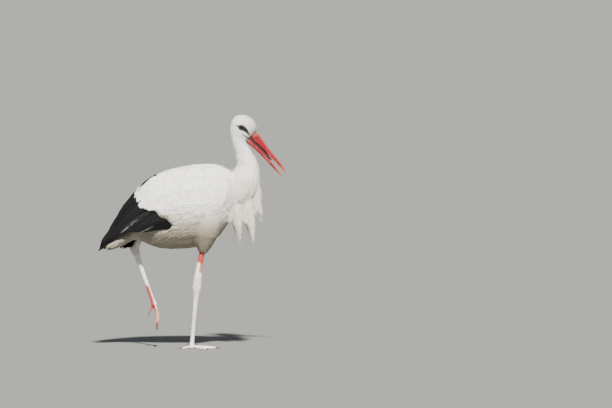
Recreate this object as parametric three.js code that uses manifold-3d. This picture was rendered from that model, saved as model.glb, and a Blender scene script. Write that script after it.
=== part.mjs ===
// A white stork in mid stride, life size, in millimetres: +X is forward, +Y its left, +Z up.
// The origin is the middle of the sole of the right foot, on which the bird stands.
// Every part is a loft: a closed sphere whose rings are moved onto sections along a curved axis.
// Parts that touch keep a gap, which is made by cutting each one with its slightly grown neighbour.
import * as THREE from "three";
import { mergeVertices } from "three/addons/utils/BufferGeometryUtils.js";
import Module from "manifold-3d";

const wasm = await Module();
wasm.setup();

// ---- driving dimensions -------------------------------------------------------------------
const GAP = 0.35; // left between parts that touch
const RIGHT = -1; // the sign of Y on the bird's right side
const LEFT = 1;

// Each half of the bill along its own axis: where the axis starts and ends in side view, [x, z],
// and rows of [share of its length, reach above it, reach below it, half the width].
const UPPER_BILL = {
  from: [212, 716],
  to: [321, 598],
  rows: [
    [-0.16, 17, 9, 12], [0, 21.5, 10, 14.5], [0.16, 17.4, 7, 12], [0.33, 14, 4.4, 9.6],
    [0.5, 12.2, 2.2, 7.6], [0.68, 10.4, 1, 5.6], [0.85, 8, 0.7, 3.7], [0.95, 4.6, 0.9, 2.2],
    [1, 0.9, 0.8, 0.8],
  ],
};
const LOWER_BILL = {
  from: [192, 704],
  to: [305, 590],
  rows: [
    [-0.1, 5, 5.4, 9], [0, 6.2, 5, 11.2], [0.18, 8.8, 2, 10.2], [0.35, 9, 1, 8.4],
    [0.52, 7.4, 1.4, 6.6], [0.7, 5.8, 2.2, 4.8], [0.87, 4.6, 2.2, 3.1], [0.96, 3.4, 2, 1.9],
    [1, 0.9, 0.9, 0.7],
  ],
};
const EYE = [170, 22.6, 755]; // the left eye's centre
const EYE_RADIUS = 7.6;
const TARSUS_LENGTH = 206;
const TIBIA_RADIUS = 8.6;
const TIBIA_BOW = 3; // how far the shin bends back between its ends
const HEEL_RADIUS = 15; // across the knob between shin and shank
const TOE_LENGTHS = { inner: 60, middle: 76, outer: 67, hind: 25 };
const TOE_SPREAD = { inner: 50, middle: 2, outer: -46, hind: 176 }; // degrees on a left foot, from +X
const CLAW_LENGTH = 11;
const COVERT_LAYER = 10; // thickness of the folded coverts
const FLIGHT_LAYER = 7; // thickness of the stacked flight feathers
const FLIGHT_SINK = 1.5; // how far the flight feathers lie inside the coverts' outer face

// The trunk from the vent to the breast: its top and bottom lines and half its width.
const TRUNK = [
  { x: -238, top: 424, bottom: 380, half: 14 },
  { x: -206, top: 486, bottom: 371, half: 38 },
  { x: -170, top: 540, bottom: 366, half: 57 },
  { x: -135, top: 584, bottom: 348, half: 74 },
  { x: -98, top: 604, bottom: 339, half: 87 },
  { x: -50, top: 618, bottom: 338, half: 97 },
  { x: 0, top: 628, bottom: 342, half: 100 },
  { x: 45, top: 632, bottom: 350, half: 97 },
  { x: 88, top: 629, bottom: 376, half: 87 },
  { x: 122, top: 616, bottom: 422, half: 71 },
  { x: 150, top: 590, bottom: 464, half: 48 },
  { x: 170, top: 548, bottom: 508, half: 16 },
];
const TRUNK_WIDEST = 0.47; // how far down the section is at its widest

// The roof that both folded wings make over the back, rump and tail: its ridge, the level where it
// is widest, half its width there, and how far below that level its sides reach.
const FOLDED = [
  { x: -324, top: 331, level: 329, half: 26, deep: 6 },
  { x: -316, top: 350, level: 335, half: 33, deep: 10 },
  { x: -301, top: 388, level: 350, half: 41, deep: 22 },
  { x: -279, top: 424, level: 366, half: 50, deep: 36 },
  { x: -257, top: 461, level: 380, half: 58, deep: 52 },
  { x: -244, top: 484, level: 390, half: 63, deep: 60 },
  { x: -219, top: 511, level: 404, half: 71, deep: 74 },
  { x: -188, top: 547, level: 424, half: 80, deep: 90 },
  { x: -148, top: 588, level: 455, half: 90, deep: 110 },
  { x: -98, top: 609, level: 480, half: 98, deep: 125 },
  { x: -30, top: 627, level: 494, half: 105, deep: 135 },
  { x: 40, top: 635, level: 500, half: 104, deep: 135 },
  { x: 92, top: 632, level: 506, half: 96, deep: 128 },
  { x: 126, top: 616, level: 514, half: 78, deep: 105 },
  { x: 147, top: 584, level: 522, half: 52, deep: 64 },
];

// ---- solids, lofts and outlines -----------------------------------------------------------

/** A three.js geometry as a manifold solid. */
function solid(geometry) {
  const bare = new THREE.BufferGeometry().setAttribute("position", geometry.getAttribute("position"));
  if (geometry.index) bare.setIndex(geometry.index);
  const merged = mergeVertices(bare, 1e-3);
  return new wasm.Manifold(
    new wasm.Mesh({
      numProp: 3,
      vertProperties: new Float32Array(merged.attributes.position.array),
      triVerts: new Uint32Array(merged.index.array),
    }),
  );
}

/** A manifold solid as a three.js geometry. */
function geometryOf(made) {
  const mesh = made.getMesh();
  const stride = mesh.numProp;
  const points = new Float32Array(mesh.numVert * 3);
  for (let i = 0; i < mesh.numVert; i++) {
    points.set(mesh.vertProperties.subarray(i * stride, i * stride + 3), i * 3);
  }
  const geometry = new THREE.BufferGeometry();
  geometry.setAttribute("position", new THREE.BufferAttribute(points, 3));
  geometry.setIndex(new THREE.BufferAttribute(mesh.triVerts, 1));
  geometry.computeVertexNormals();
  return geometry;
}

const END_BULGE = 0.4; // how far a loft's ends bulge, as a share of their half width
const LEAST_REACH = new THREE.Vector3(0.4, 0.4, 0.4); // below this a section would turn inside out

/**
 * A closed body through stations { at: [x, y, z], side, up, down }. Its sections stand square to the
 * axis, or upright if upright is set. side is half the width, up and down are the reaches on the
 * upper (or rear) and lower (or front) side. Boxiness over 2 fills out the section's corners.
 */
function loft(stations, { sides = 16, rings = 12, grow = 0, boxiness = 2, upright = false } = {}) {
  const centres = new THREE.CatmullRomCurve3(stations.map((s) => new THREE.Vector3(...s.at)));
  const reaches = new THREE.CatmullRomCurve3(
    stations.map((s) => new THREE.Vector3(s.side, s.up, s.down ?? s.up)),
  );
  const ball = new THREE.SphereGeometry(1, sides, rings);
  const position = ball.getAttribute("position");
  const across = new THREE.Vector3(0, 1, 0);
  const power = 2 / boxiness;
  for (let i = 0; i < position.count; i++) {
    const ring = Math.round((Math.acos(THREE.MathUtils.clamp(position.getY(i), -1, 1)) / Math.PI) * rings);
    const t = THREE.MathUtils.clamp((ring - 1) / (rings - 2), 0, 1);
    const pole = ring === 0 || ring === rings;
    const centre = centres.getPoint(t);
    const reach = reaches.getPoint(t).addScalar(grow).max(LEAST_REACH);
    const along = upright ? new THREE.Vector3(1, 0, 0) : centres.getTangent(t);
    const lateral = across.clone().addScaledVector(along, -across.dot(along)).normalize();
    const upward = new THREE.Vector3().crossVectors(along, lateral);
    centre.addScaledVector(along, grow * (2 * t - 1));
    if (pole) {
      centre.addScaledVector(along, (ring === 0 ? -1 : 1) * END_BULGE * Math.min(reach.x, reach.y));
    } else {
      const angle = Math.atan2(position.getZ(i), position.getX(i));
      const c = Math.cos(angle);
      const s = Math.sin(angle);
      const height = s > 0 ? reach.y : reach.z;
      centre.addScaledVector(lateral, reach.x * Math.sign(c) * Math.abs(c) ** power);
      centre.addScaledVector(upward, height * Math.sign(s) * Math.abs(s) ** power);
    }
    position.setXYZ(i, centre.x, centre.y, centre.z);
  }
  const made = solid(ball);
  return made.volume() > 0 ? made : solid(flipped(ball));
}

/** The geometry with its faces turned round. */
function flipped(geometry) {
  const index = geometry.index.array;
  for (let i = 0; i < index.length; i += 3) [index[i], index[i + 1]] = [index[i + 1], index[i]];
  return geometry;
}

/** A side-view outline, [x, z] points joined by a smooth closed curve, as a slab from y0 to y1. */
function slab(outline, y0, y1, { grow = 0, smooth = true, steps = 33 } = {}) {
  const flat = outline.map(([x, z]) => new THREE.Vector3(x, z, 0));
  const curve = new THREE.CatmullRomCurve3(flat, true, "centripetal");
  const points = smooth ? curve.getPoints(steps).slice(0, -1) : flat;
  const wound = THREE.ShapeUtils.area(points) > 0 ? 1 : -1;
  const grown = points.map((p, i) => {
    const before = points[(i + points.length - 1) % points.length];
    const after = points[(i + 1) % points.length];
    const run = new THREE.Vector2(after.x - before.x, after.y - before.y).normalize();
    return new THREE.Vector2(p.x + wound * run.y * grow, p.y - wound * run.x * grow);
  });
  const extruded = new THREE.ExtrudeGeometry(new THREE.Shape(grown), {
    depth: y1 - y0 + 2 * grow,
    bevelEnabled: false,
  });
  extruded.rotateX(Math.PI / 2); // the outline's second axis becomes +Z, and depth runs towards -Y
  extruded.translate(0, y1 + grow, 0);
  return solid(extruded);
}

/** Everything below a level, to flatten what stands on it. */
function below(level) {
  const block = new THREE.BoxGeometry(2000, 2000, 400);
  block.translate(0, 0, level - 200);
  return solid(block);
}

/** The first solid less all the others. */
function cut(made, ...others) {
  return others.reduce((left, other) => left.subtract(other), made);
}

/** The largest body of a solid that a cut left in several pieces. */
function largest(made) {
  return made.decompose().reduce((best, piece) => (piece.volume() > best.volume() ? piece : best));
}

// ---- trunk, wings and tail ----------------------------------------------------------------

const trunkStations = TRUNK.map(({ x, top, bottom, half }) => {
  const middle = top - TRUNK_WIDEST * (top - bottom);
  return { at: [x, 0, middle], side: half, up: top - middle, down: middle - bottom };
});
const bodyLoft = (grow) =>
  loft(trunkStations, { sides: 18, rings: 14, grow, boxiness: 2.15, upright: true });

const foldedStations = FOLDED.map(({ x, top, level, half, deep }) => ({
  at: [x, 0, level],
  side: half,
  up: top - level,
  down: deep,
}));
const foldedLoft = (grow) => loft(foldedStations, { sides: 16, rings: 14, grow, upright: true });

// Side outlines, [x, z]. The coverts run from the wrist at the breast to the scalloped edge over
// the flight feathers, and the flight feathers from under that edge to the wing's tip.
const COVERTS = [
  [132, 566], [122, 520], [104, 480], [66, 460], [0, 456], [-32, 434], [-58, 422], [-70, 432],
  [-82, 452], [-104, 451], [-124, 476], [-146, 470], [-164, 480], [-178, 476], [-184, 500],
  [-198, 512], [-199, 538], [-152, 590], [-100, 630], [0, 650], [90, 640], [126, 610],
];
const NEAR_FLIGHT = [
  [-50, 420], [-58, 408], [-112, 403], [-165, 393], [-217, 394], [-250, 387], [-278, 371],
  [-302, 354], [-327, 322], [-336, 334], [-305, 400], [-250, 500], [-190, 565], [-140, 610],
  [-110, 560], [-70, 480],
];
// The far wing hangs lower, so that its edge shows under the tail.
const FAR_FLIGHT = [
  [-50, 420], [-58, 404], [-112, 392], [-165, 372], [-212, 344], [-234, 332], [-262, 344],
  [-296, 346], [-327, 322], [-336, 334], [-305, 400], [-250, 500], [-190, 565], [-140, 610],
  [-110, 560], [-70, 480],
];
const MANTLE = 14; // half width of the back that shows between the wings

/** The part of a shell that lies inside a side outline, on one side of the bird. */
function wingPart(shell, outline, side, grow, clear) {
  const [y0, y1] = side === RIGHT ? [-200, -clear] : [clear, 200];
  return shell.intersect(slab(outline, y0, y1, { grow }));
}
const coverts = (side, grow = 0) =>
  wingPart(
    cut(foldedLoft(grow), foldedLoft(-COVERT_LAYER - grow)), COVERTS, side, grow, MANTLE,
  );
const flights = (side, grow = 0) => {
  const shell = cut(foldedLoft(grow - FLIGHT_SINK), foldedLoft(-FLIGHT_SINK - FLIGHT_LAYER - grow));
  return wingPart(shell, side === RIGHT ? NEAR_FLIGHT : FAR_FLIGHT, side, grow, GAP);
};

const TAIL = [
  { at: [-305, 0, 341], side: 32, up: 4, down: 6 },
  { at: [-294, 0, 345], side: 40, up: 11, down: 12 },
  { at: [-270, 0, 355], side: 44, up: 17, down: 18 },
  { at: [-240, 0, 372], side: 44, up: 18, down: 22 },
  { at: [-205, 0, 396], side: 40, up: 16, down: 26 },
  { at: [-165, 0, 418], side: 34, up: 12, down: 24 },
];
const tailLoft = (grow) => loft(TAIL, { sides: 12, rings: 7, grow });

// ---- neck, ruff and head ------------------------------------------------------------------

const NECK = [
  { at: [120, 0, 500], side: 40, up: 26, down: 30 },
  { at: [158, 0, 540], side: 52, up: 52, down: 62 },
  { at: [182, 0, 582], side: 47, up: 53, down: 53 },
  { at: [190, 0, 618], side: 35, up: 38, down: 38 },
  { at: [183, 0, 646], side: 28, up: 31, down: 31 },
  { at: [169, 0, 680], side: 23, up: 25, down: 25 },
  { at: [158.5, 0, 706], side: 22.5, up: 23.5, down: 23.5 },
  { at: [157, 0, 742], side: 22, up: 24, down: 26 },
];
const neckLoft = (grow) => loft(NECK, { sides: 14, rings: 13, grow });

// Locks of the ruff: where each is rooted, bends and ends, and its half widths fore and aft and
// across. The last two are short and fill the space between the long ones.
const RUFF = [
  { root: [144, -26, 520], bend: [156, -30, 440], tip: [163, -20, 360], fore: 21, across: 16 },
  { root: [182, -18, 530], bend: [202, -18, 450], tip: [209, -10, 360], fore: 19, across: 15 },
  { root: [204, 0, 570], bend: [230, 0, 500], tip: [239, 2, 425], fore: 12, across: 15 },
  { root: [208, -8, 600], bend: [230, -8, 550], tip: [237, -5, 496], fore: 9, across: 14 },
  { root: [178, 20, 530], bend: [194, 24, 450], tip: [200, 18, 384], fore: 19, across: 16 },
  { root: [142, 28, 520], bend: [151, 32, 450], tip: [153, 24, 386], fore: 22, across: 16 },
  { root: [122, -38, 500], bend: [132, -42, 455], tip: [136, -36, 414], fore: 17, across: 12 },
  { root: [122, 38, 500], bend: [132, 42, 455], tip: [134, 36, 416], fore: 17, across: 12 },
  { root: [178, -4, 560], bend: [180, -8, 500], tip: [180, -8, 424], fore: 20, across: 22 },
  { root: [206, -3, 590], bend: [213, -5, 520], tip: [219, -6, 452], fore: 17, across: 17 },
];
const lockLoft = ({ root, bend, tip, fore, across }, grow) => {
  const ends = [new THREE.Vector3(...root), new THREE.Vector3(...bend), new THREE.Vector3(...tip)];
  const curve = new THREE.QuadraticBezierCurve3(...ends);
  const taper = [1, 1, 0.86, 0.56, 0.12];
  const stations = taper.map((share, i) => ({
    at: curve.getPoint(i / (taper.length - 1)).toArray(),
    side: Math.max(0.8, across * share),
    up: Math.max(0.8, fore * share),
  }));
  return loft(stations, { sides: 6, rings: 5, grow });
};

// The head from the nape to the forehead: its top and bottom lines and half its width.
const HEAD = [
  { x: 133, top: 768, bottom: 722, half: 13 },
  { x: 141, top: 786, bottom: 711, half: 22 },
  { x: 156, top: 796, bottom: 703, half: 28.5 },
  { x: 175, top: 797.5, bottom: 702, half: 30.5 },
  { x: 192, top: 793, bottom: 709, half: 28 },
  { x: 206, top: 783, bottom: 724, half: 22 },
  { x: 216, top: 769, bottom: 735, half: 15 },
  { x: 221.5, top: 756, bottom: 742, half: 7 },
];
const headStations = HEAD.map(({ x, top, bottom, half }) => {
  const middle = (top + bottom) / 2;
  return { at: [x, 0, middle], side: half, up: top - middle, down: middle - bottom };
});
const headLoft = (grow) => loft(headStations, { sides: 18, rings: 13, grow, upright: true });

/** Everything above a plane that slopes up by rise for each unit forward, as a large block. */
function above(point, rise) {
  const block = new THREE.BoxGeometry(600, 600, 600);
  block.translate(0, 0, 300);
  block.rotateY(-Math.atan(rise));
  block.translate(...point);
  return solid(block);
}

// ---- bill and eyes ------------------------------------------------------------------------

/** Half of the bill as a loft along its own axis. */
function billLoft({ from, to, rows }, grow) {
  const run = new THREE.Vector3(to[0] - from[0], 0, to[1] - from[1]);
  const stations = rows.map(([share, up, down, side]) => ({
    at: [from[0] + run.x * share, 0, from[1] + run.z * share], side, up, down,
  }));
  return loft(stations, { sides: 10, rings: 11, grow, boxiness: 2.3 });
}
const upperBill = (grow) => billLoft(UPPER_BILL, grow);
const lowerBill = (grow) => billLoft(LOWER_BILL, grow);

const eyeBall = (side, grow = 0) => {
  const ball = new THREE.SphereGeometry(EYE_RADIUS + grow, 12, 7);
  ball.translate(EYE[0], side * EYE[1], EYE[2]);
  return solid(ball);
};

// ---- legs ---------------------------------------------------------------------------------

// Each leg by its joints. The right one stands under the body, and the left one swings forward
// with its heel still high behind the bird.
const RIGHT_LEG = {
  side: RIGHT, knee: [56, -46, 455], hem: [38, -33, 330], heel: [18, -22, 216], ball: [-1, 0, 3],
  thigh: [50, 44, 16],
};
const LEFT_HEEL = new THREE.Vector3(-197, 44, 340);
const LEFT_BALL = LEFT_HEEL.clone().add(
  new THREE.Vector3(0.333, -0.02, -0.943).normalize().multiplyScalar(TARSUS_LENGTH),
);
const LEFT_LEG = {
  side: LEFT, knee: [-66, 50, 508], hem: [-168, 46, 381], heel: LEFT_HEEL.toArray(),
  ball: LEFT_BALL.toArray(), thigh: [46, 38, 16],
};

/** A point part of the way between two others. */
const between = (a, b, share) => a.map((v, i) => v + (b[i] - v) * share);

const thighLoft = ({ knee, hem, thigh }, grow) =>
  loft(
    [
      { at: between(knee, hem, -0.25), side: thigh[0] * 0.6, up: thigh[0] * 0.6 },
      { at: knee, side: thigh[0], up: thigh[0] },
      { at: between(knee, hem, 0.5), side: thigh[1], up: thigh[1] },
      { at: hem, side: thigh[2], up: thigh[2] },
    ],
    { sides: 14, rings: 8, grow },
  );

// The shin swells towards the heel.
const TIBIA_START = 0.82; // how far down the thigh the shin begins
const TIBIA_ROWS = [
  [0, 1, 1.05], [0.35, 0.97, 1.08], [0.65, 1.08, 1.28], [0.84, 1.3, 1.6], [0.955, 1.4, 1.74],
]; // share of length, and half widths across and fore and aft as shares of the shin's
const tibiaLoft = ({ knee, hem, heel }, grow) => {
  const start = between(knee, hem, TIBIA_START);
  const stations = TIBIA_ROWS.map(([share, across, fore]) => {
    const at = between(start, heel, share);
    at[0] -= TIBIA_BOW * Math.sin(Math.PI * share);
    return { at, side: TIBIA_RADIUS * across, up: TIBIA_RADIUS * fore };
  });
  return loft(stations, { sides: 10, rings: 8, grow });
};

// The tarsus with the knobbed heel at its top and the ball of the foot at its bottom.
const TARSUS_ROWS = [
  [-0.035, 0.68, 0.82], [0, 0.86, 1.02], [0.035, 0.84, 1.01], [0.07, 0.79, 0.94], [0.13, 0.62, 0.74],
  [0.2, 0.5, 0.58], [0.5, 0.4, 0.45], [0.88, 0.39, 0.42], [0.95, 0.54, 0.54], [1.0, 0.7, 0.7],
]; // share of length, and half widths across and fore and aft as shares of the heel's
const tarsusLoft = ({ heel, ball }, grow) => {
  const stations = TARSUS_ROWS.map(([share, across, fore]) => ({
    at: between(heel, ball, share),
    side: HEEL_RADIUS * across,
    up: HEEL_RADIUS * fore,
  }));
  return loft(stations, { sides: 10, rings: 14, grow });
};

/** The line of one toe of a foot, from the ball to where the claw begins. */
function toePath(foot, name) {
  return foot.toes[name].map((p) => new THREE.Vector3(...p));
}
// A toe's joints have pads that swell a little.
const toeLoft = (points, radius, grow) => {
  const curve = new THREE.CatmullRomCurve3(points);
  const pads = [0.76, 0.98, 0.86, 0.96, 0.78, 0.62];
  const stations = pads.map((share, i) => ({
    at: curve.getPoint(i / (pads.length - 1)).toArray(),
    side: radius * share,
    up: radius * share,
  }));
  return loft(stations, { sides: 7, rings: 6, grow });
};
const clawLoft = (points, radius, grow) => {
  const tip = points.at(-1);
  const run = tip.clone().sub(points.at(-2)).normalize();
  const end = tip.clone().addScaledVector(run, CLAW_LENGTH);
  const droop = new THREE.Vector3(0, 0, -1.2);
  return loft(
    [
      { at: tip.clone().addScaledVector(run, -2).toArray(), side: radius * 0.56, up: radius * 0.56 },
      { at: between(tip.toArray(), end.toArray(), 0.35), side: radius * 0.5, up: radius * 0.5 },
      { at: between(tip.toArray(), end.clone().add(droop).toArray(), 0.75), side: 1.7, up: 1.5 },
      { at: end.add(droop.multiplyScalar(1.6)).toArray(), side: 0.7, up: 0.5 },
    ],
    { sides: 6, rings: 5, grow },
  );
};

const TOE_RADIUS = { inner: 5.2, middle: 5.6, outer: 5.2, hind: 4.4 };
const TOE_START = 9; // how far from the middle of the ball the toes begin
const SOLE_CUT = 0.9; // how much of each pad is flat on the ground

/** The standing foot's toes, laid flat: each runs out from the ball of the foot. */
function flatToes(ball, side) {
  const toes = {};
  for (const [name, length] of Object.entries(TOE_LENGTHS)) {
    const turn = THREE.MathUtils.degToRad(TOE_SPREAD[name]) * (side === LEFT ? -1 : 1);
    const rise = TOE_RADIUS[name] - SOLE_CUT;
    const reach = (share) => [
      ball[0] + Math.cos(turn) * (TOE_START + length * share),
      ball[1] + Math.sin(turn) * (TOE_START + length * share),
    ];
    toes[name] = [
      [...reach(0), rise + 2.4],
      [...reach(0.3), rise + 0.5],
      [...reach(0.65), rise - 0.4],
      [...reach(1), rise * 0.72],
    ];
  }
  return toes;
}

/** The swinging foot's toes hang together below the ball of the foot and curl back a little. */
function hangingToes(ball) {
  const fan = { inner: -0.22, middle: 0, outer: 0.22, hind: 0 };
  const toes = {};
  for (const [name, length] of Object.entries(TOE_LENGTHS)) {
    const hind = name === "hind";
    const drop = hind ? [-0.62, 0, -0.78] : [0.3, fan[name], -0.93];
    const curl = hind ? [-0.35, 0, -0.94] : [-0.12, fan[name] * 1.1, -0.97];
    const begin = [ball[0] + (hind ? -5 : 3), ball[1] + fan[name] * 40, ball[2] - 4];
    const middle = begin.map((v, i) => v + drop[i] * length * 0.5);
    const end = middle.map((v, i) => v + curl[i] * length * 0.5);
    toes[name] = [begin, between(begin, middle, 0.6), middle, end];
  }
  return toes;
}
RIGHT_LEG.toes = flatToes(RIGHT_LEG.ball, RIGHT);
LEFT_LEG.toes = hangingToes(LEFT_LEG.ball);

// ---- finishes -----------------------------------------------------------------------------

const finish = (color, roughness) => new THREE.MeshStandardMaterial({ color, roughness, metalness: 0 });
const WHITE = finish("#ecebe4", 0.9);
const BLACK = finish("#17171a", 0.6);
const RED = finish("#b9323a", 0.45);
const SHANK = finish("#d8685a", 0.6);
const CLAW = finish("#4a3a34", 0.5);
const EYE_DARK = finish("#15100e", 0.1);

// ---- the bird -----------------------------------------------------------------------------

const stork = new THREE.Group();
function add(name, made, material) {
  const mesh = new THREE.Mesh(geometryOf(largest(made)), material);
  mesh.name = name;
  stork.add(mesh);
}

const legs = { right: RIGHT_LEG, left: LEFT_LEG };
const sideNames = { right: RIGHT, left: LEFT };

// The trunk is what is left of the body when the wings and thighs are cut out of it.
const wingCuts = [RIGHT, LEFT].flatMap((side) => [coverts(side, GAP), flights(side, GAP)]);
const trunk = cut(bodyLoft(0), ...wingCuts);
add("trunk", trunk, WHITE);

for (const [name, side] of Object.entries(sideNames)) {
  add(`wing_${name}`, coverts(side), WHITE);
  add(`flight_feathers_${name}`, cut(flights(side), coverts(side, GAP)), BLACK);
}
const tail = cut(tailLoft(0), bodyLoft(GAP), ...[RIGHT, LEFT].map((side) => flights(side, GAP)));
add("tail", tail, WHITE);

// The neck ends at the head, and a thin slanting cut parts its upper half from its lower one.
const NECK_CUT = { at: [170, 0, 650], rise: 0.1 };
const aboveNeckCut = ([x, y, z], lift) => above([x, y, z + lift], NECK_CUT.rise);
const ruffed = RUFF.reduce((joined, lock) => joined.add(lockLoft(lock, 0)), neckLoft(0));
const neckLower = cut(
  ruffed, aboveNeckCut(NECK_CUT.at, 0), bodyLoft(GAP), coverts(RIGHT, GAP), coverts(LEFT, GAP),
);
add("neck_lower", neckLower, WHITE);
const neckUpper = neckLoft(0).intersect(aboveNeckCut(NECK_CUT.at, GAP));
add("neck_upper", cut(neckUpper, headLoft(GAP), lowerBill(GAP)), WHITE);
const headCuts = [upperBill(GAP), lowerBill(GAP), eyeBall(RIGHT, GAP), eyeBall(LEFT, GAP)];
add("head", cut(headLoft(0), ...headCuts), WHITE);
add("upper_bill", upperBill(0), RED);
add("lower_bill", cut(lowerBill(0), upperBill(GAP)), RED);
for (const [name, side] of Object.entries(sideNames)) add(`eye_${name}`, eyeBall(side), EYE_DARK);

for (const [name, leg] of Object.entries(legs)) {
  const ground = leg.side === RIGHT ? [below(0)] : [];
  const inTheWay = [bodyLoft(GAP), tailLoft(GAP), flights(leg.side, GAP), coverts(leg.side, GAP)];
  add(`thigh_${name}`, cut(thighLoft(leg, 0), ...inTheWay, tibiaLoft(leg, GAP)), WHITE);
  add(`tibia_${name}`, cut(tibiaLoft(leg, 0), ...inTheWay, tarsusLoft(leg, GAP)), SHANK);
  add(`tarsus_${name}`, cut(tarsusLoft(leg, 0), flights(leg.side, GAP), ...ground), SHANK);
  for (const toe of ["middle", "inner", "outer", "hind"]) {
    const points = toePath(leg, toe);
    const claw = (grow) => clawLoft(points, TOE_RADIUS[toe], grow);
    const toeSolid = cut(toeLoft(points, TOE_RADIUS[toe], 0), tarsusLoft(leg, GAP), claw(GAP), ...ground);
    add(`toe_${name}_${toe}`, toeSolid, SHANK);
    add(`claw_${name}_${toe}`, cut(claw(0), ...ground), CLAW);
  }
}

export default stork;
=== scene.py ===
"""A white stork as a still, life-size museum model, striding with its left foot lifted.

Metres, +Z up, the bird faces +X. The origin is the middle of the right foot's sole, on the floor.
"""
import math

import bmesh
import bpy
import numpy as np
from mathutils import Matrix, Vector
from mathutils.bvhtree import BVHTree


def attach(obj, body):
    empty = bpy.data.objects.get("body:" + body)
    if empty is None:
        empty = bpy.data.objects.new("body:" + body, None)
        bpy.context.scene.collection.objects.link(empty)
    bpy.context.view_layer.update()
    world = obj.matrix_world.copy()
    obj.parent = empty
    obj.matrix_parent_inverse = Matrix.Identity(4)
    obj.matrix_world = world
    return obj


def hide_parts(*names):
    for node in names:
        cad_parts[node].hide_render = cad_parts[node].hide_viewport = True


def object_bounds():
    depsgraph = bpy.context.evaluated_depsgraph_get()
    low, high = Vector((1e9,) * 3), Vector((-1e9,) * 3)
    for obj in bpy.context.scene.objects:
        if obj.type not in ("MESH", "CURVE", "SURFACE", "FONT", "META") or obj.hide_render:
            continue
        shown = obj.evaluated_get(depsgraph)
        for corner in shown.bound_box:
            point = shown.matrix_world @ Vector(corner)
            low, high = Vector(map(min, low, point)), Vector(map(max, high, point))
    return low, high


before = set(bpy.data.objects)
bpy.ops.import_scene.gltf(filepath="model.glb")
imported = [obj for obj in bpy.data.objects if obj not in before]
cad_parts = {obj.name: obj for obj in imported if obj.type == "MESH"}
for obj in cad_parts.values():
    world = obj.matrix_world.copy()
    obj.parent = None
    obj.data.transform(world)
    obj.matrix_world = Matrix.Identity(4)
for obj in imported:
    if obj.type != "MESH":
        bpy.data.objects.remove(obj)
CAD_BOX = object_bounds()
MM = 0.001
SIDES = {"right": -1, "left": 1}


# ---------------------------------------------------------------- skin
# The bird's hide, downy on the body and bare on the legs, is one closed piece from the bill to the
# toes. It is cast over the body with the joints filled, then drawn in by the depth of the coat, so
# that the feathers end where the body did.
FLESH = ["trunk", "tail", "neck_lower", "neck_upper", "head"] + [
    f"{part}_{side}" for side in SIDES for part in ("wing", "thigh", "tibia", "tarsus")] + [
    f"toe_{side}_{toe}" for side in SIDES for toe in ("middle", "inner", "outer", "hind")]
COAT_DEPTH = {"trunk": 5.5, "tail": 6, "wing": 3.2, "neck_lower": 7, "neck_upper": 4, "head": 2.4,
              "thigh": 5}
JOINT_FILL = 0.55 * MM
HIDE_GRAIN = 2.8 * MM
COATED_SOFTENING, BARE_SOFTENING, SEAM_SOFTENING = (0.5, 14), (0.4, 3), (0.5, 45)
HUG = 0.85  # how far the bare legs return to the body's own face after softening
LOCKS_TOP = 0.53
SEAM_X, SEAM_Z = (0.052, 0.135), (0.42, 0.62)  # the step between breast and wing
EYE_AT = Vector((170, 22.6, 755)) * MM
EYE_RADIUS = 7.6 * MM
LID_OPENING = 5.6 * MM
TAIL_FLESH_END = -0.245
RUFF_FLESH_END = (0.212, 0.485, 0.565)  # in front of the first and under the last, or under the second


def loose_copy(node):
    """A merged copy of one CAD node, for a piece that takes its shape over."""
    copy = bmesh.new()
    copy.from_mesh(bpy.data.objects[node].data)
    bmesh.ops.remove_doubles(copy, verts=copy.verts, dist=0.01 * MM)
    return copy


def as_mesh(body, name):
    """A worked shape as a mesh of its own."""
    mesh = bpy.data.meshes.new(name)
    body.to_mesh(mesh)
    body.free()
    return mesh


def new_object(name, data):
    """An object in the scene."""
    made = bpy.data.objects.new(name, data)
    bpy.context.scene.collection.objects.link(made)
    return made


def add_piece(mesh, materials, replaced=()):
    """Hangs a finished mesh on the body as a piece of the same name, with its finish."""
    piece = new_object(mesh.name, mesh)
    for material in materials:
        mesh.materials.append(material)
    mesh.shade_smooth()
    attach(piece, "root")
    if replaced:
        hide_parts(*replaced)
    return piece


def soften(body, verts, factor, rounds):
    """Evens out part of a mesh, each vertex moved towards the middle of its neighbours."""
    for _ in range(rounds):
        bmesh.ops.smooth_vert(body, verts=verts, factor=factor, use_axis_x=True, use_axis_y=True,
                              use_axis_z=True)


def cast_over(nodes):
    """One closed smooth mesh cast over several nodes, and a search tree with the node of each face."""
    body = bmesh.new()
    face_node = []
    for node in nodes:
        lump = loose_copy(node)
        if node == "head":
            hull = bmesh.ops.convex_hull(lump, input=lump.verts, use_existing_faces=False)
            kept = {g for g in hull["geom"] if isinstance(g, bmesh.types.BMFace)}
            bmesh.ops.delete(lump, geom=[f for f in lump.faces if f not in kept], context="FACES")
        bmesh.ops.recalc_face_normals(lump, faces=lump.faces)
        lump.normal_update()
        for v in lump.verts:
            v.co += v.normal * JOINT_FILL
        face_node += [node] * len(lump.faces)
        lump_mesh = as_mesh(lump, "lump")
        body.from_mesh(lump_mesh)
        bpy.data.meshes.remove(lump_mesh)
    tree = BVHTree.FromBMesh(body)
    cast = new_object("cast", as_mesh(body, "cast"))
    fuse = cast.modifiers.new("fuse", "REMESH")
    fuse.mode = "VOXEL"
    fuse.voxel_size = HIDE_GRAIN
    fused = bpy.data.meshes.new_from_object(
        cast.evaluated_get(bpy.context.evaluated_depsgraph_get()))
    bpy.data.objects.remove(cast)
    return fused, tree, face_node


hide, node_tree, face_node = cast_over(FLESH)
shape = bmesh.new()
shape.from_mesh(hide)
bpy.data.meshes.remove(hide)

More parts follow.
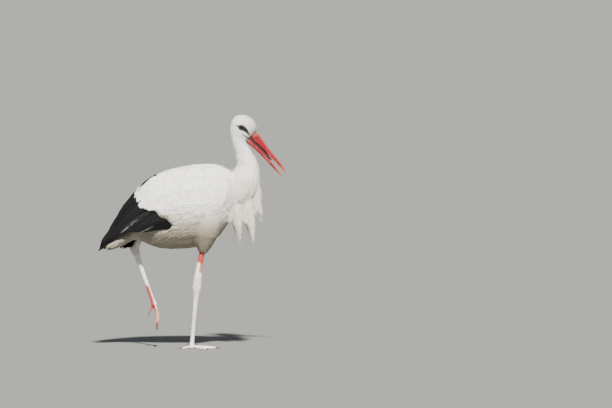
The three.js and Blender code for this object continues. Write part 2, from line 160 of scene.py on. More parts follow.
# Only the largest closed surface is kept; the others are hollows left between the joined parts.
islands, seen = [], set()
for v in shape.verts:
    if v in seen:
        continue
    island, edge = {v}, [v]
    while edge:
        last = edge.pop()
        for link in last.link_edges:
            other = link.other_vert(last)
            if other not in island:
                island.add(other)
                edge.append(other)
    seen |= island
    islands.append(island)
islands.sort(key=len)
bmesh.ops.delete(shape, geom=[v for island in islands[:-1] for v in island], context="VERTS")
shape.verts.ensure_lookup_table()
hide_node = [face_node[node_tree.find_nearest(v.co)[2]] for v in shape.verts]


def part_of(node):
    """The body part that a node belongs to, without its side."""
    return node if node in COAT_DEPTH else node.split("_")[0]


in_locks = [node == "neck_lower" and v.co.z < LOCKS_TOP for v, node in zip(shape.verts, hide_node)]
is_coated = [part_of(node) in COAT_DEPTH and not lock for node, lock in zip(hide_node, in_locks)]
coated = [v for v, under_coat in zip(shape.verts, is_coated) if under_coat]
slight = [v for v, under_coat in zip(shape.verts, is_coated) if not under_coat]
soften(shape, coated, *COATED_SOFTENING)
soften(shape, slight, *BARE_SOFTENING)
soften(shape, [v for v in coated if SEAM_X[0] < v.co.x < SEAM_X[1] and SEAM_Z[0] < v.co.z < SEAM_Z[1]],
       *SEAM_SOFTENING)
for v in slight:
    v.co = v.co.lerp(node_tree.find_nearest(v.co)[0], HUG)
soften(shape, slight, 0.3, 1)
shape.normal_update()
hide = as_mesh(shape, "hide")

COUNT = len(hide.vertices)
PARTS = np.array([part_of(node) for node in hide_node])
SIDE_OF = np.array([-1 if node.endswith("right") or "_right_" in node else 1 for node in hide_node])


def read(collection, field, width, kind=np.float64):
    """One field of a mesh collection as rows."""
    values = np.empty(len(collection) * width, dtype=kind)
    collection.foreach_get(field, values)
    return values.reshape(-1, width)


surface = read(hide.vertices, "co", 3)
quads = read(hide.loops, "vertex_index", 1, np.int32).reshape(-1, 4)
edges = read(hide.edges, "vertices", 2, np.int32)
edge_from = np.concatenate([edges[:, 0], edges[:, 1]])
edge_to = np.concatenate([edges[:, 1], edges[:, 0]])
neighbours = np.bincount(edge_from, minlength=COUNT)[:, None]


def eased(values, rounds):
    """Evens a value out over the hide, each vertex with its neighbours."""
    values = np.asarray(values, dtype=float).reshape(COUNT, -1)
    for _ in range(rounds):
        near = np.stack([np.bincount(edge_from, weights=column[edge_to], minlength=COUNT)
                         for column in values.T], axis=1) / neighbours
        values = (values + near) / 2
    return values


def unit(vectors):
    """Vectors at length one."""
    return vectors / np.maximum(np.linalg.norm(vectors, axis=-1, keepdims=True), 1e-9)


outward = unit(eased(read(hide.vertices, "normal", 3), 4))
depth = eased([COAT_DEPTH.get(part, 0) * MM for part in PARTS], 10)
skin_at = surface - outward * depth
skin_at[:, 2] = np.maximum(skin_at[:, 2], 0)
eye_gap = np.hypot(surface[:, 0] - EYE_AT.x, surface[:, 2] - EYE_AT.z)
at_eye = (eye_gap < LID_OPENING + 0.7 * MM) & (np.abs(surface[:, 1]) > 15 * MM)


# The markings of skin and coat alike: how black, how creamy and how deep the painted underside shade is.
# Each line is a row of x, z and half width in millimetres.
LORE = [(151, 761.5, 1.0), (160, 758, 4.2), (168, 754.5, 9.4), (177, 751, 8.6), (186, 743.5, 5.8),
        (191.5, 736, 3.4), (196.5, 727.5, 1.2)]
GAPE = [(173.5, 731, 1.2), (188, 720, 2.0), (203, 709, 2.6)]


def smooth(low, high, value):
    """A soft step from 0 at low to 1 at high."""
    t = np.clip((value - low) / (high - low), 0, 1)
    return t * t * (3 - 2 * t)


def off_line(x, z, start, end, endless=False):
    """How far along a straight line each place lies, from 0 to 1, and how far off it."""
    (x0, z0), (x1, z1) = start, end
    t = ((x - x0) * (x1 - x0) + (z - z0) * (z1 - z0)) / ((x1 - x0) ** 2 + (z1 - z0) ** 2)
    t = t if endless else np.clip(t, 0, 1)
    return t, np.hypot(x - x0 - t * (x1 - x0), z - z0 - t * (z1 - z0))


def drawn_line(x, z, line, blur):
    """How fully each place lies on a line of changing width with soft edges."""
    share = np.zeros(len(x))
    for (*start, r0), (*end, r1) in zip(line, line[1:]):
        t, gap = off_line(x, z, start, end)
        share = np.maximum(share, 1 - smooth(-blur, blur, gap - (r0 + t * (r1 - r0))))
    return share


def markings(points):
    """Black, cream and painted underside shade at each place, as three shares."""
    x, y, z = (points / MM).T
    black = np.maximum(drawn_line(x, z, LORE, 0.8), drawn_line(x, z, GAPE, 0.5))
    black *= (z > 700) & (np.abs(y) > 7)
    ruff = smooth(640, 560, z) * smooth(95, 150, x)
    # The flanks' cream is partly their own tint and partly painted shade.
    shaded_flank = smooth(500, 440, z) * smooth(-240, -60, x) * smooth(140, 90, x)
    neck = smooth(735, 690, z) * smooth(90, 140, x)
    cream = np.maximum.reduce([0.15 + 0 * x, 0.9 * ruff, 1.0 * shaded_flank, 0.45 * neck])
    # Painted olive shade under the body, deepest towards the belly, stopping above the legs.
    under_shade = smooth(475, 385, z) * smooth(190, 110, x) * smooth(300, 322, z)
    return np.stack([black, cream, under_shade], axis=1)


def write_on(mesh, name, values):
    """Writes three shares on each point of a mesh."""
    mesh.attributes.new(name, "FLOAT_VECTOR", "POINT").data.foreach_set("vector", values.ravel())


def node_in(tree, kind, inputs=None, **settings):
    """A shader node with its settings and sockets, each a value or a link."""
    made = tree.nodes.new(kind)
    for key, value in settings.items():
        setattr(made, key, value)
    for key, value in (inputs or {}).items():
        if isinstance(value, bpy.types.NodeSocket):
            tree.links.new(value, made.inputs[key])
        else:
            made.inputs[key].default_value = value
    return made


def maths(tree, operation, *values):
    """The result of one Math node."""
    return node_in(tree, "ShaderNodeMath", dict(enumerate(values)), operation=operation).outputs[0]


def times(tree, value, factor):
    """The product of two values."""
    return maths(tree, "MULTIPLY", value, factor)


def mixed(tree, share, first, second):
    """Two colours mixed by a share."""
    made = tree.nodes.new("ShaderNodeMix")
    made.data_type = "RGBA"
    for socket, value in ((made.inputs[0], share), (made.inputs[6], first), (made.inputs[7], second)):
        if isinstance(value, bpy.types.NodeSocket):
            tree.links.new(value, socket)
        else:
            socket.default_value = value if isinstance(value, (int, float)) else (*value, 1)
    return made.outputs[2]


def ranged(tree, value, low, high, out_low=0.0, out_high=1.0):
    """A value mapped from one range to another."""
    return node_in(tree, "ShaderNodeMapRange",
                   {0: value, 1: low, 2: high, 3: out_low, 4: out_high}).outputs[0]


def own_place(tree):
    """Each place in the object's own coordinates."""
    return node_in(tree, "ShaderNodeTexCoord").outputs["Object"]


def noise(tree, place, scale, detail=2.0):
    """A cloudy value, finer as the scale rises."""
    return node_in(tree, "ShaderNodeTexNoise",
                   {"Vector": place, "Scale": scale, "Detail": detail}).outputs["Fac"]


def new_material(name, roughness, **more):
    """A material with its tree and its Principled shader."""
    material = bpy.data.materials.new(name)
    material.use_nodes = True
    shader = material.node_tree.nodes["Principled BSDF"]
    for socket, value in {"Roughness": roughness, **more}.items():
        shader.inputs[socket.replace("_", " ")].default_value = value
    return material, material.node_tree, shader


def paint(tree, shader, colour, *layers):
    """Gives a material its colour, with others laid over it, each by its share."""
    for share, upper in layers:
        colour = mixed(tree, share, colour, upper)
    tree.links.new(colour, shader.inputs["Base Color"])


def raise_by(tree, shader, height, strength, distance):
    """Raises a material's surface by a height, as a bump."""
    raised = node_in(tree, "ShaderNodeBump",
                     {"Height": height, "Strength": strength, "Distance": distance})
    tree.links.new(raised.outputs[0], shader.inputs["Normal"])


def shares(tree, name):
    """The three parts of a vector attribute."""
    attribute = node_in(tree, "ShaderNodeAttribute", attribute_name=name)
    return node_in(tree, "ShaderNodeSeparateXYZ", {0: attribute.outputs["Vector"]}).outputs


DOWN_WHITE, CREAM = (0.93, 0.92, 0.895), (0.52, 0.40, 0.24)
SHADE_OLIVE, SOOT = (0.22, 0.195, 0.12), (0.005, 0.0045, 0.005)
hide_skin, tree, shader = new_material("under_down", 0.85)
black, cream, under_shade = shares(tree, "marks")
down = noise(tree, own_place(tree), 420.0, 3.0)
# The down is painted with the olive shade under the body.
paint(tree, shader, DOWN_WHITE, (times(tree, cream, down), CREAM), (under_shade, SHADE_OLIVE), (black, SOOT))
raise_by(tree, shader, down, 0.4, 0.8 * MM)

# Bare leg: red horn skin under a white chalky coat, thickest on the near shank, in small round scales.
LEG_RED, LEG_CHALK = (0.44, 0.028, 0.016), (0.93, 0.91, 0.87)
LEG_GREY, LEG_PINK = (0.40, 0.36, 0.34), (0.62, 0.28, 0.22)
leg_skin, tree, shader = new_material("leg_skin", 0.55)
limed, worn, dusk = shares(tree, "limed")
place = own_place(tree)
cells = node_in(tree, "ShaderNodeTexVoronoi", {"Vector": place, "Scale": 330.0, "Randomness": 0.7},
                feature="DISTANCE_TO_EDGE")
flakes = noise(tree, place, 160.0, 5.0)
chalk = ranged(tree, maths(tree, "ADD", limed, times(tree, flakes, 0.5)), 0.62, 0.82)
# The creases between the scales are painted grey as shade.
crease_shade = ranged(tree, cells.outputs["Distance"], 0.0, 0.12, 0.28, 0.0)
paint(tree, shader, LEG_RED, (worn, LEG_PINK), (chalk, LEG_CHALK),
      (times(tree, dusk, flakes), LEG_GREY), (crease_shade, LEG_GREY))
raise_by(tree, shader, ranged(tree, cells.outputs["Distance"], 0.0, 0.15), 0.55, 0.6 * MM)


def limed_share(points):
    """How chalky, how pink and how grey the bare leg is at each place."""
    x, y, z = (points / MM).T
    near = y < 0
    chalk = np.where(near, smooth(306, 292, z) * (0.54 + 0.2 * smooth(240, 275, z)),
                     0.55 * smooth(205, 218, z))
    front = near * smooth(258, 266, z) * smooth(0, 7, x - (18 + (z - 216) * 0.1))
    left_edge = 0.75 * ~near * smooth(1.5, 4.5, x + 197 - (340 - z) * 0.353) * smooth(122, 140, z)
    chalk = np.clip(np.maximum(chalk, left_edge) - front, 0, 1)
    pink = np.where(near, np.maximum(smooth(115, 60, z), 0.7 * smooth(300, 285, z)),
                    np.maximum(smooth(135, 122, z), 0.7 * smooth(205, 215, z)))
    grey = np.where(near, 0.45 * smooth(170, 200, z) * smooth(262, 240, z),
                    0.9 * smooth(312, 322, z) * smooth(372, 360, z))
    return np.stack([chalk, pink, grey], axis=1)


drawn = bmesh.new()
drawn.from_mesh(hide)
drawn.verts.ensure_lookup_table()
for v, there in zip(drawn.verts, skin_at):
    v.co = there
thin_tail = (PARTS == "tail") & (surface[:, 0] < TAIL_FLESH_END)
in_plumes = (PARTS == "neck_lower") & ((surface[:, 2] < RUFF_FLESH_END[1])
                                       | ((surface[:, 0] > RUFF_FLESH_END[0])
                                          & (surface[:, 2] < RUFF_FLESH_END[2])))
unseen = at_eye | thin_tail | in_plumes
bmesh.ops.delete(drawn, geom=[v for v, gone in zip(drawn.verts, unseen) if gone], context="VERTS")
stump = [e for e in drawn.edges if e.is_boundary and e.verts[0].co.z < 0.6]
bmesh.ops.holes_fill(drawn, edges=stump, sides=0)

# The rim of each eyelid is a thin roll of bare skin round the opening.
LID_AT, LID_ROLL, LID_ROWS = 27.9 * MM, 1.15 * MM, 40
for turn in SIDES.values():
    lid = bmesh.new()
    roll = bmesh.ops.create_circle(lid, segments=8, radius=LID_ROLL, matrix=Matrix.Translation(
        (LID_OPENING + 0.5 * MM, 0, 0)) @ Matrix.Rotation(math.radians(90), 4, "X"))["verts"]
    bmesh.ops.spin(lid, geom=roll + lid.edges[:], cent=(0, 0, 0), axis=(0, 0, 1), angle=math.tau,
                   steps=LID_ROWS, use_merge=True)
    bmesh.ops.recalc_face_normals(lid, faces=lid.faces)
    bmesh.ops.transform(lid, verts=lid.verts, matrix=(
        Matrix.Translation((EYE_AT.x + 0.3 * MM, turn * LID_AT, EYE_AT.z))
        @ Matrix.Rotation(math.radians(turn * -90), 4, "X") @ Matrix.Diagonal((1.07, 0.92, 1, 1))))
    ring = as_mesh(lid, "ring")
    drawn.from_mesh(ring)
    bpy.data.meshes.remove(ring)
skin_mesh = as_mesh(drawn, "skin")
skin_points = read(skin_mesh.vertices, "co", 3)
write_on(skin_mesh, "marks", markings(skin_points))
write_on(skin_mesh, "limed", limed_share(skin_points))
bare_by_place = {tuple(np.round(p, 7)) for p, part in zip(skin_at, PARTS) if part not in COAT_DEPTH}
bare_vert = np.array([tuple(np.round(p, 7)) in bare_by_place for p in skin_points])
skin_loops = read(skin_mesh.loops, "vertex_index", 1, np.int32)[:, 0]
starts = read(skin_mesh.polygons, "loop_start", 1, np.int32)[:, 0]
skin_mesh.polygons.foreach_set("material_index", bare_vert[skin_loops[starts]].astype(np.int32))
add_piece(skin_mesh, [hide_skin, leg_skin], replaced=FLESH)


# ---------------------------------------------------------------- contour feathers
# Small feathers lie over the whole hide like tiles, each rising from the skin to the coat's outer
# face. They run back from the bill, down the neck, and along the body to the tail and the knees.
# Those of head and neck are narrow soft plumes, laid on here.
BODY_LINE = [(330, 590), (215, 735), (170, 755), (150, 740), (158, 706), (169, 680), (183, 646),
             (190, 618), (175, 560), (120, 510), (0, 480), (-150, 450), (-300, 350)]
WING_TIP, ARM_FRONT, ARM_BACK = (-335, 318), 60, -150
THIGH_LIE = {"right": (-0.10, 0, -1), "left": (-0.52, 0, -0.85)}
RUFF_LIE, FLANK_DROOP = (0.10, 0, -1), 0.75
STOPS_PER_RUN, LINE_REACH = 12, 4 * MM
SOLE_MIDDLE = {"right": (-1, 0, 3), "left": (-128, 40, 146)}  # the toes' scales run out from here

line = np.array(BODY_LINE, dtype=float) * MM
stops = np.concatenate([a + (b - a) * np.linspace(0, 1, STOPS_PER_RUN, endpoint=False)[:, None]
                        for a, b in zip(line, line[1:])])
runs = np.concatenate([np.repeat([unit(b - a)], STOPS_PER_RUN, axis=0) for a, b in zip(line, line[1:])])
flat = surface[:, [0, 2]]
pull = 1 / (np.linalg.norm(flat[:, None] - stops[None], axis=2) + LINE_REACH) ** 4
course = pull @ runs / pull.sum(axis=1, keepdims=True)
lie = np.stack([course[:, 0], np.zeros(COUNT), course[:, 1]], axis=1)
x, y, z = (surface / MM).T
in_ruff = (PARTS == "neck_lower") * smooth(575, 535, z)
lie += in_ruff[:, None] * 4 * RUFF_LIE
in_flank = (PARTS == "trunk") * smooth(500, 450, z) * smooth(150, 90, x) * np.abs(outward[:, 1])
lie += in_flank[:, None] * [0, 0, -FLANK_DROOP]
to_tip = unit(np.stack([WING_TIP[0] - x, 0 * x, WING_TIP[1] - z], axis=1))
arm = smooth(ARM_FRONT, ARM_BACK, x)[:, None]
lie = np.where((PARTS == "wing")[:, None], arm * to_tip + (1 - arm) * [-1, 0, -0.12], lie)
for side, turn in SIDES.items():
    lie = np.where(((PARTS == "thigh") & (SIDE_OF == turn))[:, None], THIGH_LIE[side], lie)
lie = eased(unit(lie), 8)
lie = unit(lie - outward * (lie * outward).sum(axis=1, keepdims=True))

for side, turn in SIDES.items():
    foot = (PARTS == "toe") & (SIDE_OF == turn)
    lie = np.where(foot[:, None], surface - np.array(SOLE_MIDDLE[side]) * MM, lie)
lie = np.where(np.isin(PARTS, ("tibia", "tarsus"))[:, None], (0.0, 0.0, -1.0), lie)
lie = unit(lie - outward * (lie * outward).sum(axis=1, keepdims=True))

outer_tree = BVHTree.FromPolygons(surface.tolist(), quads.tolist())
quad_lie = [Vector(v) for v in unit(lie[quads].mean(axis=1))]
quad_out = [Vector(v) for v in unit(outward[quads].mean(axis=1))]
quad_depth = depth[quads].mean(axis=1)[:, 0]
quad_at = surface[quads].mean(axis=1)
quad_part = PARTS[quads[:, 0]]
quad_size = np.linalg.norm(np.cross(surface[quads[:, 2]] - surface[quads[:, 0]],
                                    surface[quads[:, 3]] - surface[quads[:, 1]]), axis=1) / 2
SEED, STREWN, CROWDING = 7, 6, 0.62  # how many tips are tried per place, and how close they may come
chance = np.random.default_rng(SEED)


def scatter(chosen, spacing):
    """Places strewn evenly over the chosen part of the outer face, about one per spacing squared."""
    faces = np.flatnonzero(chosen)
    picks = chance.choice(faces, size=int(STREWN * quad_size[faces].sum() / spacing ** 2) + 8,
                          p=quad_size[faces] / quad_size[faces].sum())
    share = chance.random((len(picks), 2, 1))
    a, b, c, d = (surface[quads[picks, k]] for k in range(4))
    spots = (a * (1 - share[:, 0]) + b * share[:, 0]) * (1 - share[:, 1]) \
        + (d * (1 - share[:, 0]) + c * share[:, 0]) * share[:, 1]
    cell = np.floor(spots / spacing + 0.5 * chance.random(3)).astype(int)
    middle = np.linalg.norm(spots / spacing - cell - 0.5, axis=1)
    order = np.argsort(middle)
    _, first = np.unique(cell[order], axis=0, return_index=True)
    spots = spots[order[first]]
    kept, held = [], {}
    for spot in spots[chance.permutation(len(spots))]:
        key = tuple(np.floor(spot / spacing).astype(int))
        close = [p for i in (-1, 0, 1) for j in (-1, 0, 1) for k in (-1, 0, 1)
                 for p in held.get((key[0] + i, key[1] + j, key[2] + k), ())]
        if all((p[0] - spot[0]) ** 2 + (p[1] - spot[1]) ** 2 + (p[2] - spot[2]) ** 2
               > (CROWDING * spacing) ** 2 for p in close):
            held.setdefault(key, []).append(spot)
            kept.append(spot)
    return np.array(kept)


def vane_steps(rows):
    """The stations of a vane from its root to its tip, closer together towards the tip."""
    return 1 - (1 - np.linspace(0, 1, rows + 1)) ** 1.5


def lay_over(tips, lengths, rows, stray=6.0, loose=0.7, lean=0.0):
    """Each feather's line and upward direction, traced from its tip back over the hide to its root."""
    steps = vane_steps(rows)
    spine, up = np.zeros((len(tips), rows + 1, 3)), np.zeros((len(tips), rows + 1, 3))
    yaws = np.radians(lean + chance.normal(0, stray, len(tips)))
    sunk = chance.random(len(tips)) * loose * MM
    for i, tip in enumerate(tips):
        at = Vector(tip)
        for j in range(rows, -1, -1):
            hit, _, quad, _ = outer_tree.find_nearest(at)
            out = quad_out[quad]
            buried = 1 - steps[j]
            height = -quad_depth[quad] * (0.7 * buried ** 2 + 0.2 * buried) - sunk[i] * steps[j]
            spine[i, j], up[i, j] = hit + out * height, out
            if j:
                back = Matrix.Rotation(yaws[i], 3, out) @ quad_lie[quad]
                at = hit - back * lengths[i] * (steps[j] - steps[j - 1])
    return spine, up


def rounded(steps, fullness=0.62):
    """A blunt vane: quickly wide, then round at the tip."""
    rising = smooth(-0.12, 0.3, steps)
    tip = np.sqrt(np.clip(1 - np.clip((steps - fullness) / (1 - fullness), 0, 1) ** 2, 0, 1))
    return np.maximum(rising * tip, 0.06)


def pointed(steps):
    """A lance-shaped plume."""
    falling = 1 - np.clip((steps - 0.35) / 0.65, 0, 1) ** 1.7
    return np.maximum(smooth(-0.15, 0.35, steps) * falling, 0.04)


BOX_MARGIN = 0.1 * MM  # no feather comes nearer than this to the body's outer limits
THIGH_TOP, THIGH_REACH, THIGH_OUT = 0.56, 0.3, 0.045
THIGH_AXIS = {-1: ((0.33, 0.5), (0.035, 0.02)), 1: ((0.38, 0.5), (-0.168, -0.07))}
PATCH, PATCH_FILL = 0.003, 0.82  # each feather's square on the unwrapped hide, and its share in use


def root_patch(roots, chart):
    """A place of its own on the unwrapped hide for each feather's root."""
    x, z = roots[:, 0], roots[:, 2]
    if chart == "thigh":
        along = (THIGH_TOP - z) / THIGH_REACH
        axis_x = sum(np.interp(z, *THIGH_AXIS[turn]) * (roots[:, 1] * turn > 0) for turn in SIDES.values())
        round_it = np.arctan2(roots[:, 1] - np.sign(roots[:, 1]) * THIGH_OUT, x - axis_x)
    else:
        gap = np.linalg.norm(roots[:, None, [0, 2]] - stops[None], axis=2)
        near = gap.argmin(axis=1)
        ahead = ((roots[:, [0, 2]] - stops[near]) * runs[near]).sum(axis=1)
        reach = np.concatenate([[0], np.cumsum(np.linalg.norm(np.diff(stops, axis=0), axis=1))])
        along = (reach[near] + ahead) / reach[-1]
        above = (roots[:, 0] - stops[near, 0]) * -runs[near, 1] + (z - stops[near, 1]) * runs[near, 0]
        round_it = np.arctan2(roots[:, 1], -above)
    spots = np.stack([np.clip(along, 0, 1), round_it / math.tau + 0.5], axis=1)
    cells = np.clip((0.01 + 0.98 * spots) / PATCH, 1, 1 / PATCH - 2).astype(int)
    taken = set()
    for i, cell in enumerate(cells):
        ring = 0
        while True:
            free = [(cell[0] + a, cell[1] + b) for a in range(-ring, ring + 1)
                    for b in range(-ring, ring + 1) if max(abs(a), abs(b)) == ring
                    and (cell[0] + a, cell[1] + b) not in taken]
            if free:
                taken.add(free[0])
                cells[i] = free[0]
                break
            ring += 1
    return (cells + 0.5) * PATCH


def feather_mesh(name, spine, up, half, outline, columns=4, camber=0.16, fray=0.05, chart="body",
                 twist=5.0, shaft=0.0, marks_of=markings):
    """One mesh of many vanes, each a grid bent along its line, arched across and frayed at its tip."""
    count, stations = spine.shape[:2]
    across = np.linspace(-1, 1, columns + 1) if isinstance(columns, int) else np.array(columns)
    steps, columns = vane_steps(stations - 1), len(across) - 1
    run = unit(np.gradient(spine, axis=1))
    beside = unit(np.cross(run, up))
    roll = np.radians(chance.normal(0, twist, count))[:, None, None]
    beside = beside * np.cos(roll) + up * np.sin(roll)
    width = half[:, None] * outline(steps)[None]
    arch = (-camber * width[..., None] * across ** 2
            + shaft * (across == 0) * (1 - 0.8 * steps)[None, :, None])
    places = (spine[:, :, None] + beside[:, :, None] * (width[..., None] * across)[..., None]
              + up[:, :, None] * arch[..., None])
    length = np.linalg.norm(spine[:, -1] - spine[:, 0], axis=1)
    torn = chance.random((count, 1, columns + 1)) * fray * smooth(0.6, 1, steps)[None, :, None]
    places -= run[:, :, None] * (torn * length[:, None, None])[..., None]
    grid = bmesh.new()
    bmesh.ops.create_grid(grid, x_segments=columns, y_segments=stations - 1, size=1)
    pattern = np.array([[v.index for v in f.verts] for f in grid.faces])
    grid.free()
    points = np.clip(places.reshape(-1, 3), np.array(CAD_BOX[0]) + BOX_MARGIN,
                     np.array(CAD_BOX[1]) - BOX_MARGIN)
    per = stations * (columns + 1)
    faces = (pattern[None] + per * np.arange(count)[:, None, None]).reshape(-1, 4)
    mesh = bpy.data.meshes.new(name)
    mesh.vertices.add(len(points))
    mesh.vertices.foreach_set("co", points.ravel())
    mesh.loops.add(faces.size)
    mesh.loops.foreach_set("vertex_index", faces.ravel().astype(np.int32))
    mesh.polygons.add(len(faces))
    mesh.polygons.foreach_set("loop_start", np.arange(0, faces.size, 4, dtype=np.int32))
    mesh.update(calc_edges=True)
    own = chance.random(count)
    vane = np.stack([np.broadcast_to(across, (count, stations, columns + 1)),
                     np.broadcast_to(steps[:, None], (count, stations, columns + 1)),
                     np.broadcast_to(own[:, None, None], (count, stations, columns + 1))], axis=-1)
    write_on(mesh, "vane", vane)
    write_on(mesh, "marks", marks_of(points))
    corner = root_patch(spine[:, 0], chart)[:, None, None] + PATCH * PATCH_FILL / 2 * np.stack(
        [vane[..., 0], 2 * vane[..., 1] - 1], axis=-1)
    mesh.uv_layers.new(name="OFBake").data.foreach_set(
        "uv", corner.reshape(-1, 2)[faces.ravel()].ravel())
    return mesh


def barbs(name, bands):
    """A feather's barbs: fine streaks along the vane, and the height of barbs leaving its shaft."""
    group = bpy.data.node_groups.new(name, "ShaderNodeTree")
    for socket in ("Streak", "Height", "Across", "Along", "Chance"):
        group.interface.new_socket(socket, in_out="OUTPUT", socket_type="NodeSocketFloat")
    group.interface.new_socket("Coarseness", in_out="INPUT", socket_type="NodeSocketFloat")
    given, out = group.nodes.new("NodeGroupInput"), group.nodes.new("NodeGroupOutput")
    across, along, own = shares(group, "vane")
    spread = node_in(group, "ShaderNodeCombineXYZ", {
        0: times(group, across, given.outputs["Coarseness"]),
        1: times(group, along, 1.3), 2: times(group, own, 61.0)})
    streak = noise(group, spread.outputs[0], 1.6, 3.0)
    off_shaft = maths(group, "ABSOLUTE", across)
    lean = maths(group, "ADD", times(group, along, bands),
                 times(group, off_shaft, -bands * 0.3))
    barb = maths(group, "SINE", maths(group, "ADD", lean, times(group, streak, 9.0)))
    shaft = ranged(group, off_shaft, 0.0, 0.09, 1.0, 0.0)
    height = maths(group, "ADD", times(group, barb, 0.5), times(group, shaft, 1.5))
    height = maths(group, "ADD", height, times(group, streak, 2.0))
    for socket, value in (("Streak", streak), ("Height", height), ("Across", across), ("Along", along),
                          ("Chance", own)):
        group.links.new(value, out.inputs[socket])
    return group


feather_barbs = barbs("feather_barbs", 150.0)
white_feather, tree, shader = new_material("white_feather", 0.72, Sheen_Weight=0.15, Subsurface_Weight=0.35,
                                           Subsurface_Scale=2.5 * MM, Subsurface_Radius=(1, 0.9, 0.75))
grain = node_in(tree, "ShaderNodeGroup", node_tree=feather_barbs)
grain.inputs["Coarseness"].default_value = 3.2
black, cream, under_shade = shares(tree, "marks")
streaky = ranged(tree, grain.outputs["Streak"], 0.40, 0.60)
stained = ranged(tree, grain.outputs["Chance"], 0.45, 1.0, 0.0, 0.75)
spread = maths(tree, "ADD", times(tree, streaky, 0.5), stained)
# Feathers under the body take the painted olive shade, a little less along the streaks.
streaked_shade = times(tree, under_shade, ranged(tree, grain.outputs["Streak"], 0.3, 0.7, 1.0, 0.75))
root_shade = ranged(tree, grain.outputs["Along"], 0.0, 0.75, 0.28, 0.0)
paint(tree, shader, DOWN_WHITE, (times(tree, cream, spread), CREAM), (streaked_shade, SHADE_OLIVE),
      (root_shade, SHADE_OLIVE), (black, SOOT))
raise_by(tree, shader, grain.outputs["Height"], 0.35, 0.5 * MM)

# No feather starts under the bill's base or on the bare ring round the eye.
bill_base = np.zeros(COUNT, dtype=bool)
for node in ("upper_bill", "lower_bill"):
    horn = loose_copy(node)
    horn.normal_update()
    horn_tree = BVHTree.FromBMesh(horn)
    for i in np.flatnonzero((surface[:, 0] > 0.17) & (surface[:, 2] > 0.68)):
        at, out, _, gap = horn_tree.find_nearest(surface[i])
        bill_base[i] |= (Vector(surface[i]) - at).dot(out) < 0.3 * MM and gap < 30 * MM
    horn.free()
eye_near = (eye_gap < LID_OPENING + 2.2 * MM) & (np.abs(surface[:, 1]) > 12 * MM)
bald = (bill_base | eye_near)[quads].any(axis=1)
black_here = markings(quad_at)[:, 0]


def let_hang(spine, reach):
    """Draws the free ends of plumes on past the hide."""
    onward = unit(spine[:, -3] - spine[:, -5])
    for station, share in ((-3, 0.2), (-2, 0.55), (-1, 1)):
        spine[:, station] += onward * (reach * share)[:, None]


def coat(name, chosen, spacing, length, half, outline, rows, columns, stray=6.0, loose=0.7,
         hang=(0, None), **how):
    """One coat piece: feathers strewn over the chosen part of the hide, in millimetres."""
    tips = scatter(chosen, spacing * MM)
    spread = chance.uniform(0.82, 1.15, len(tips))
    spine, up = lay_over(tips, length * MM * spread, rows, stray, loose)
    reach, hanging = hang
    if reach:
        let_hang(spine, chance.uniform(0, reach, len(tips)) * MM * hanging(tips))
    mesh = feather_mesh(name, spine, up, half * MM * chance.uniform(0.85, 1.1, len(tips)), outline,
                        columns, **how)
    add_piece(mesh, [white_feather])


def before_bill(tips):
    """Where the forehead's plumes reach over the bill's base."""
    return (tips[:, 0] > 0.194) & (tips[:, 2] > 0.724)


def under_ruff(tips):
    """Where the lowest plumes of the neck hang free."""
    return tips[:, 2] < 0.50


FINE_ROUND_EYE, FINE_AT_BILL, RUFF_TOP, RUFF_BACK = 17 * MM, 188 * MM, 560 * MM, 96 * MM
is_head = quad_part == "head"
eye_off = np.hypot(quad_at[:, 0] - EYE_AT.x, quad_at[:, 2] - EYE_AT.z)
face_fine = is_head & ~bald & ((eye_off < FINE_ROUND_EYE) | (quad_at[:, 0] > FINE_AT_BILL)
                              | (black_here > 0.02))
coat("coat_face", face_fine, 1.35, 6, 0.75, pointed, 4, 2, stray=9, fray=0.15, loose=0.3,
     hang=(5, before_bill))
coat("coat_head", is_head & ~bald & ~face_fine, 1.75, 12, 1.05, pointed, 5, 2, stray=8, fray=0.15,
     loose=0.4)
coat("coat_neck", quad_part == "neck_upper", 2.6, 27, 2.1, pointed, 6, 2, stray=8, fray=0.1,
     camber=0.22, twist=4, loose=-1.5)
low_neck = quad_part == "neck_lower"
ruff_zone = low_neck & (quad_at[:, 2] < RUFF_TOP) & (quad_at[:, 0] > RUFF_BACK)
coat("coat_low_neck", low_neck & ~ruff_zone, 3.2, 42, 2.7, pointed, 7, 2, stray=8, fray=0.1,
     camber=0.25, twist=7, loose=-3.0)
coat("coat_ruff", ruff_zone, 3.4, 78, 2.8, pointed, 9, 2, stray=7, fray=0.06, camber=0.3, twist=9,
     loose=-3.0, hang=(12, under_ruff))


# ---------------------------------------------------------------- veil
# The long plumes of the lower neck fall over the breast as one soft veil on each side. Each plume
# starts in the neck's coat and lies over a net that bridges the hollows beneath, its tip free.
VEIL_HEM = [(120, 478), (138, 446), (150, 405), (176, 428), (199, 405), (213, 462), (226, 470), (236, 530)]
VEIL_SPAN, VEIL_TOP, VEIL_LENGTHS, VEIL_HALVES = (116, 236), 545, (58, 92), (2.2, 3.1)
VEIL_PLUMES, VEIL_ROWS, VEIL_BACKWARD = 1100, 8, 0.10
NET_STEP, NET_EMPTY = 4, -12.0
ROOT_COVER, ROOT_TOP = 8, 606  # a root lies over the body by this much, and no higher than this
net_x, net_z = np.arange(104, 248, NET_STEP), np.arange(380, 640, NET_STEP)


def from_side(tree, x, z, turn):
    """Where a line straight in from one side of the bird meets a shape, at x and z in millimetres."""
    return tree.ray_cast(Vector((x * MM, turn * 0.3, z * MM)), Vector((0, -turn, 0)))


def widened(net, pick):
    """The net with each value picked from those within three steps."""
    padded = np.pad(net, 3, mode="edge")
    return pick([padded[a:a + net.shape[0], b:b + net.shape[1]] for a in range(7) for b in range(7)],
                axis=0)


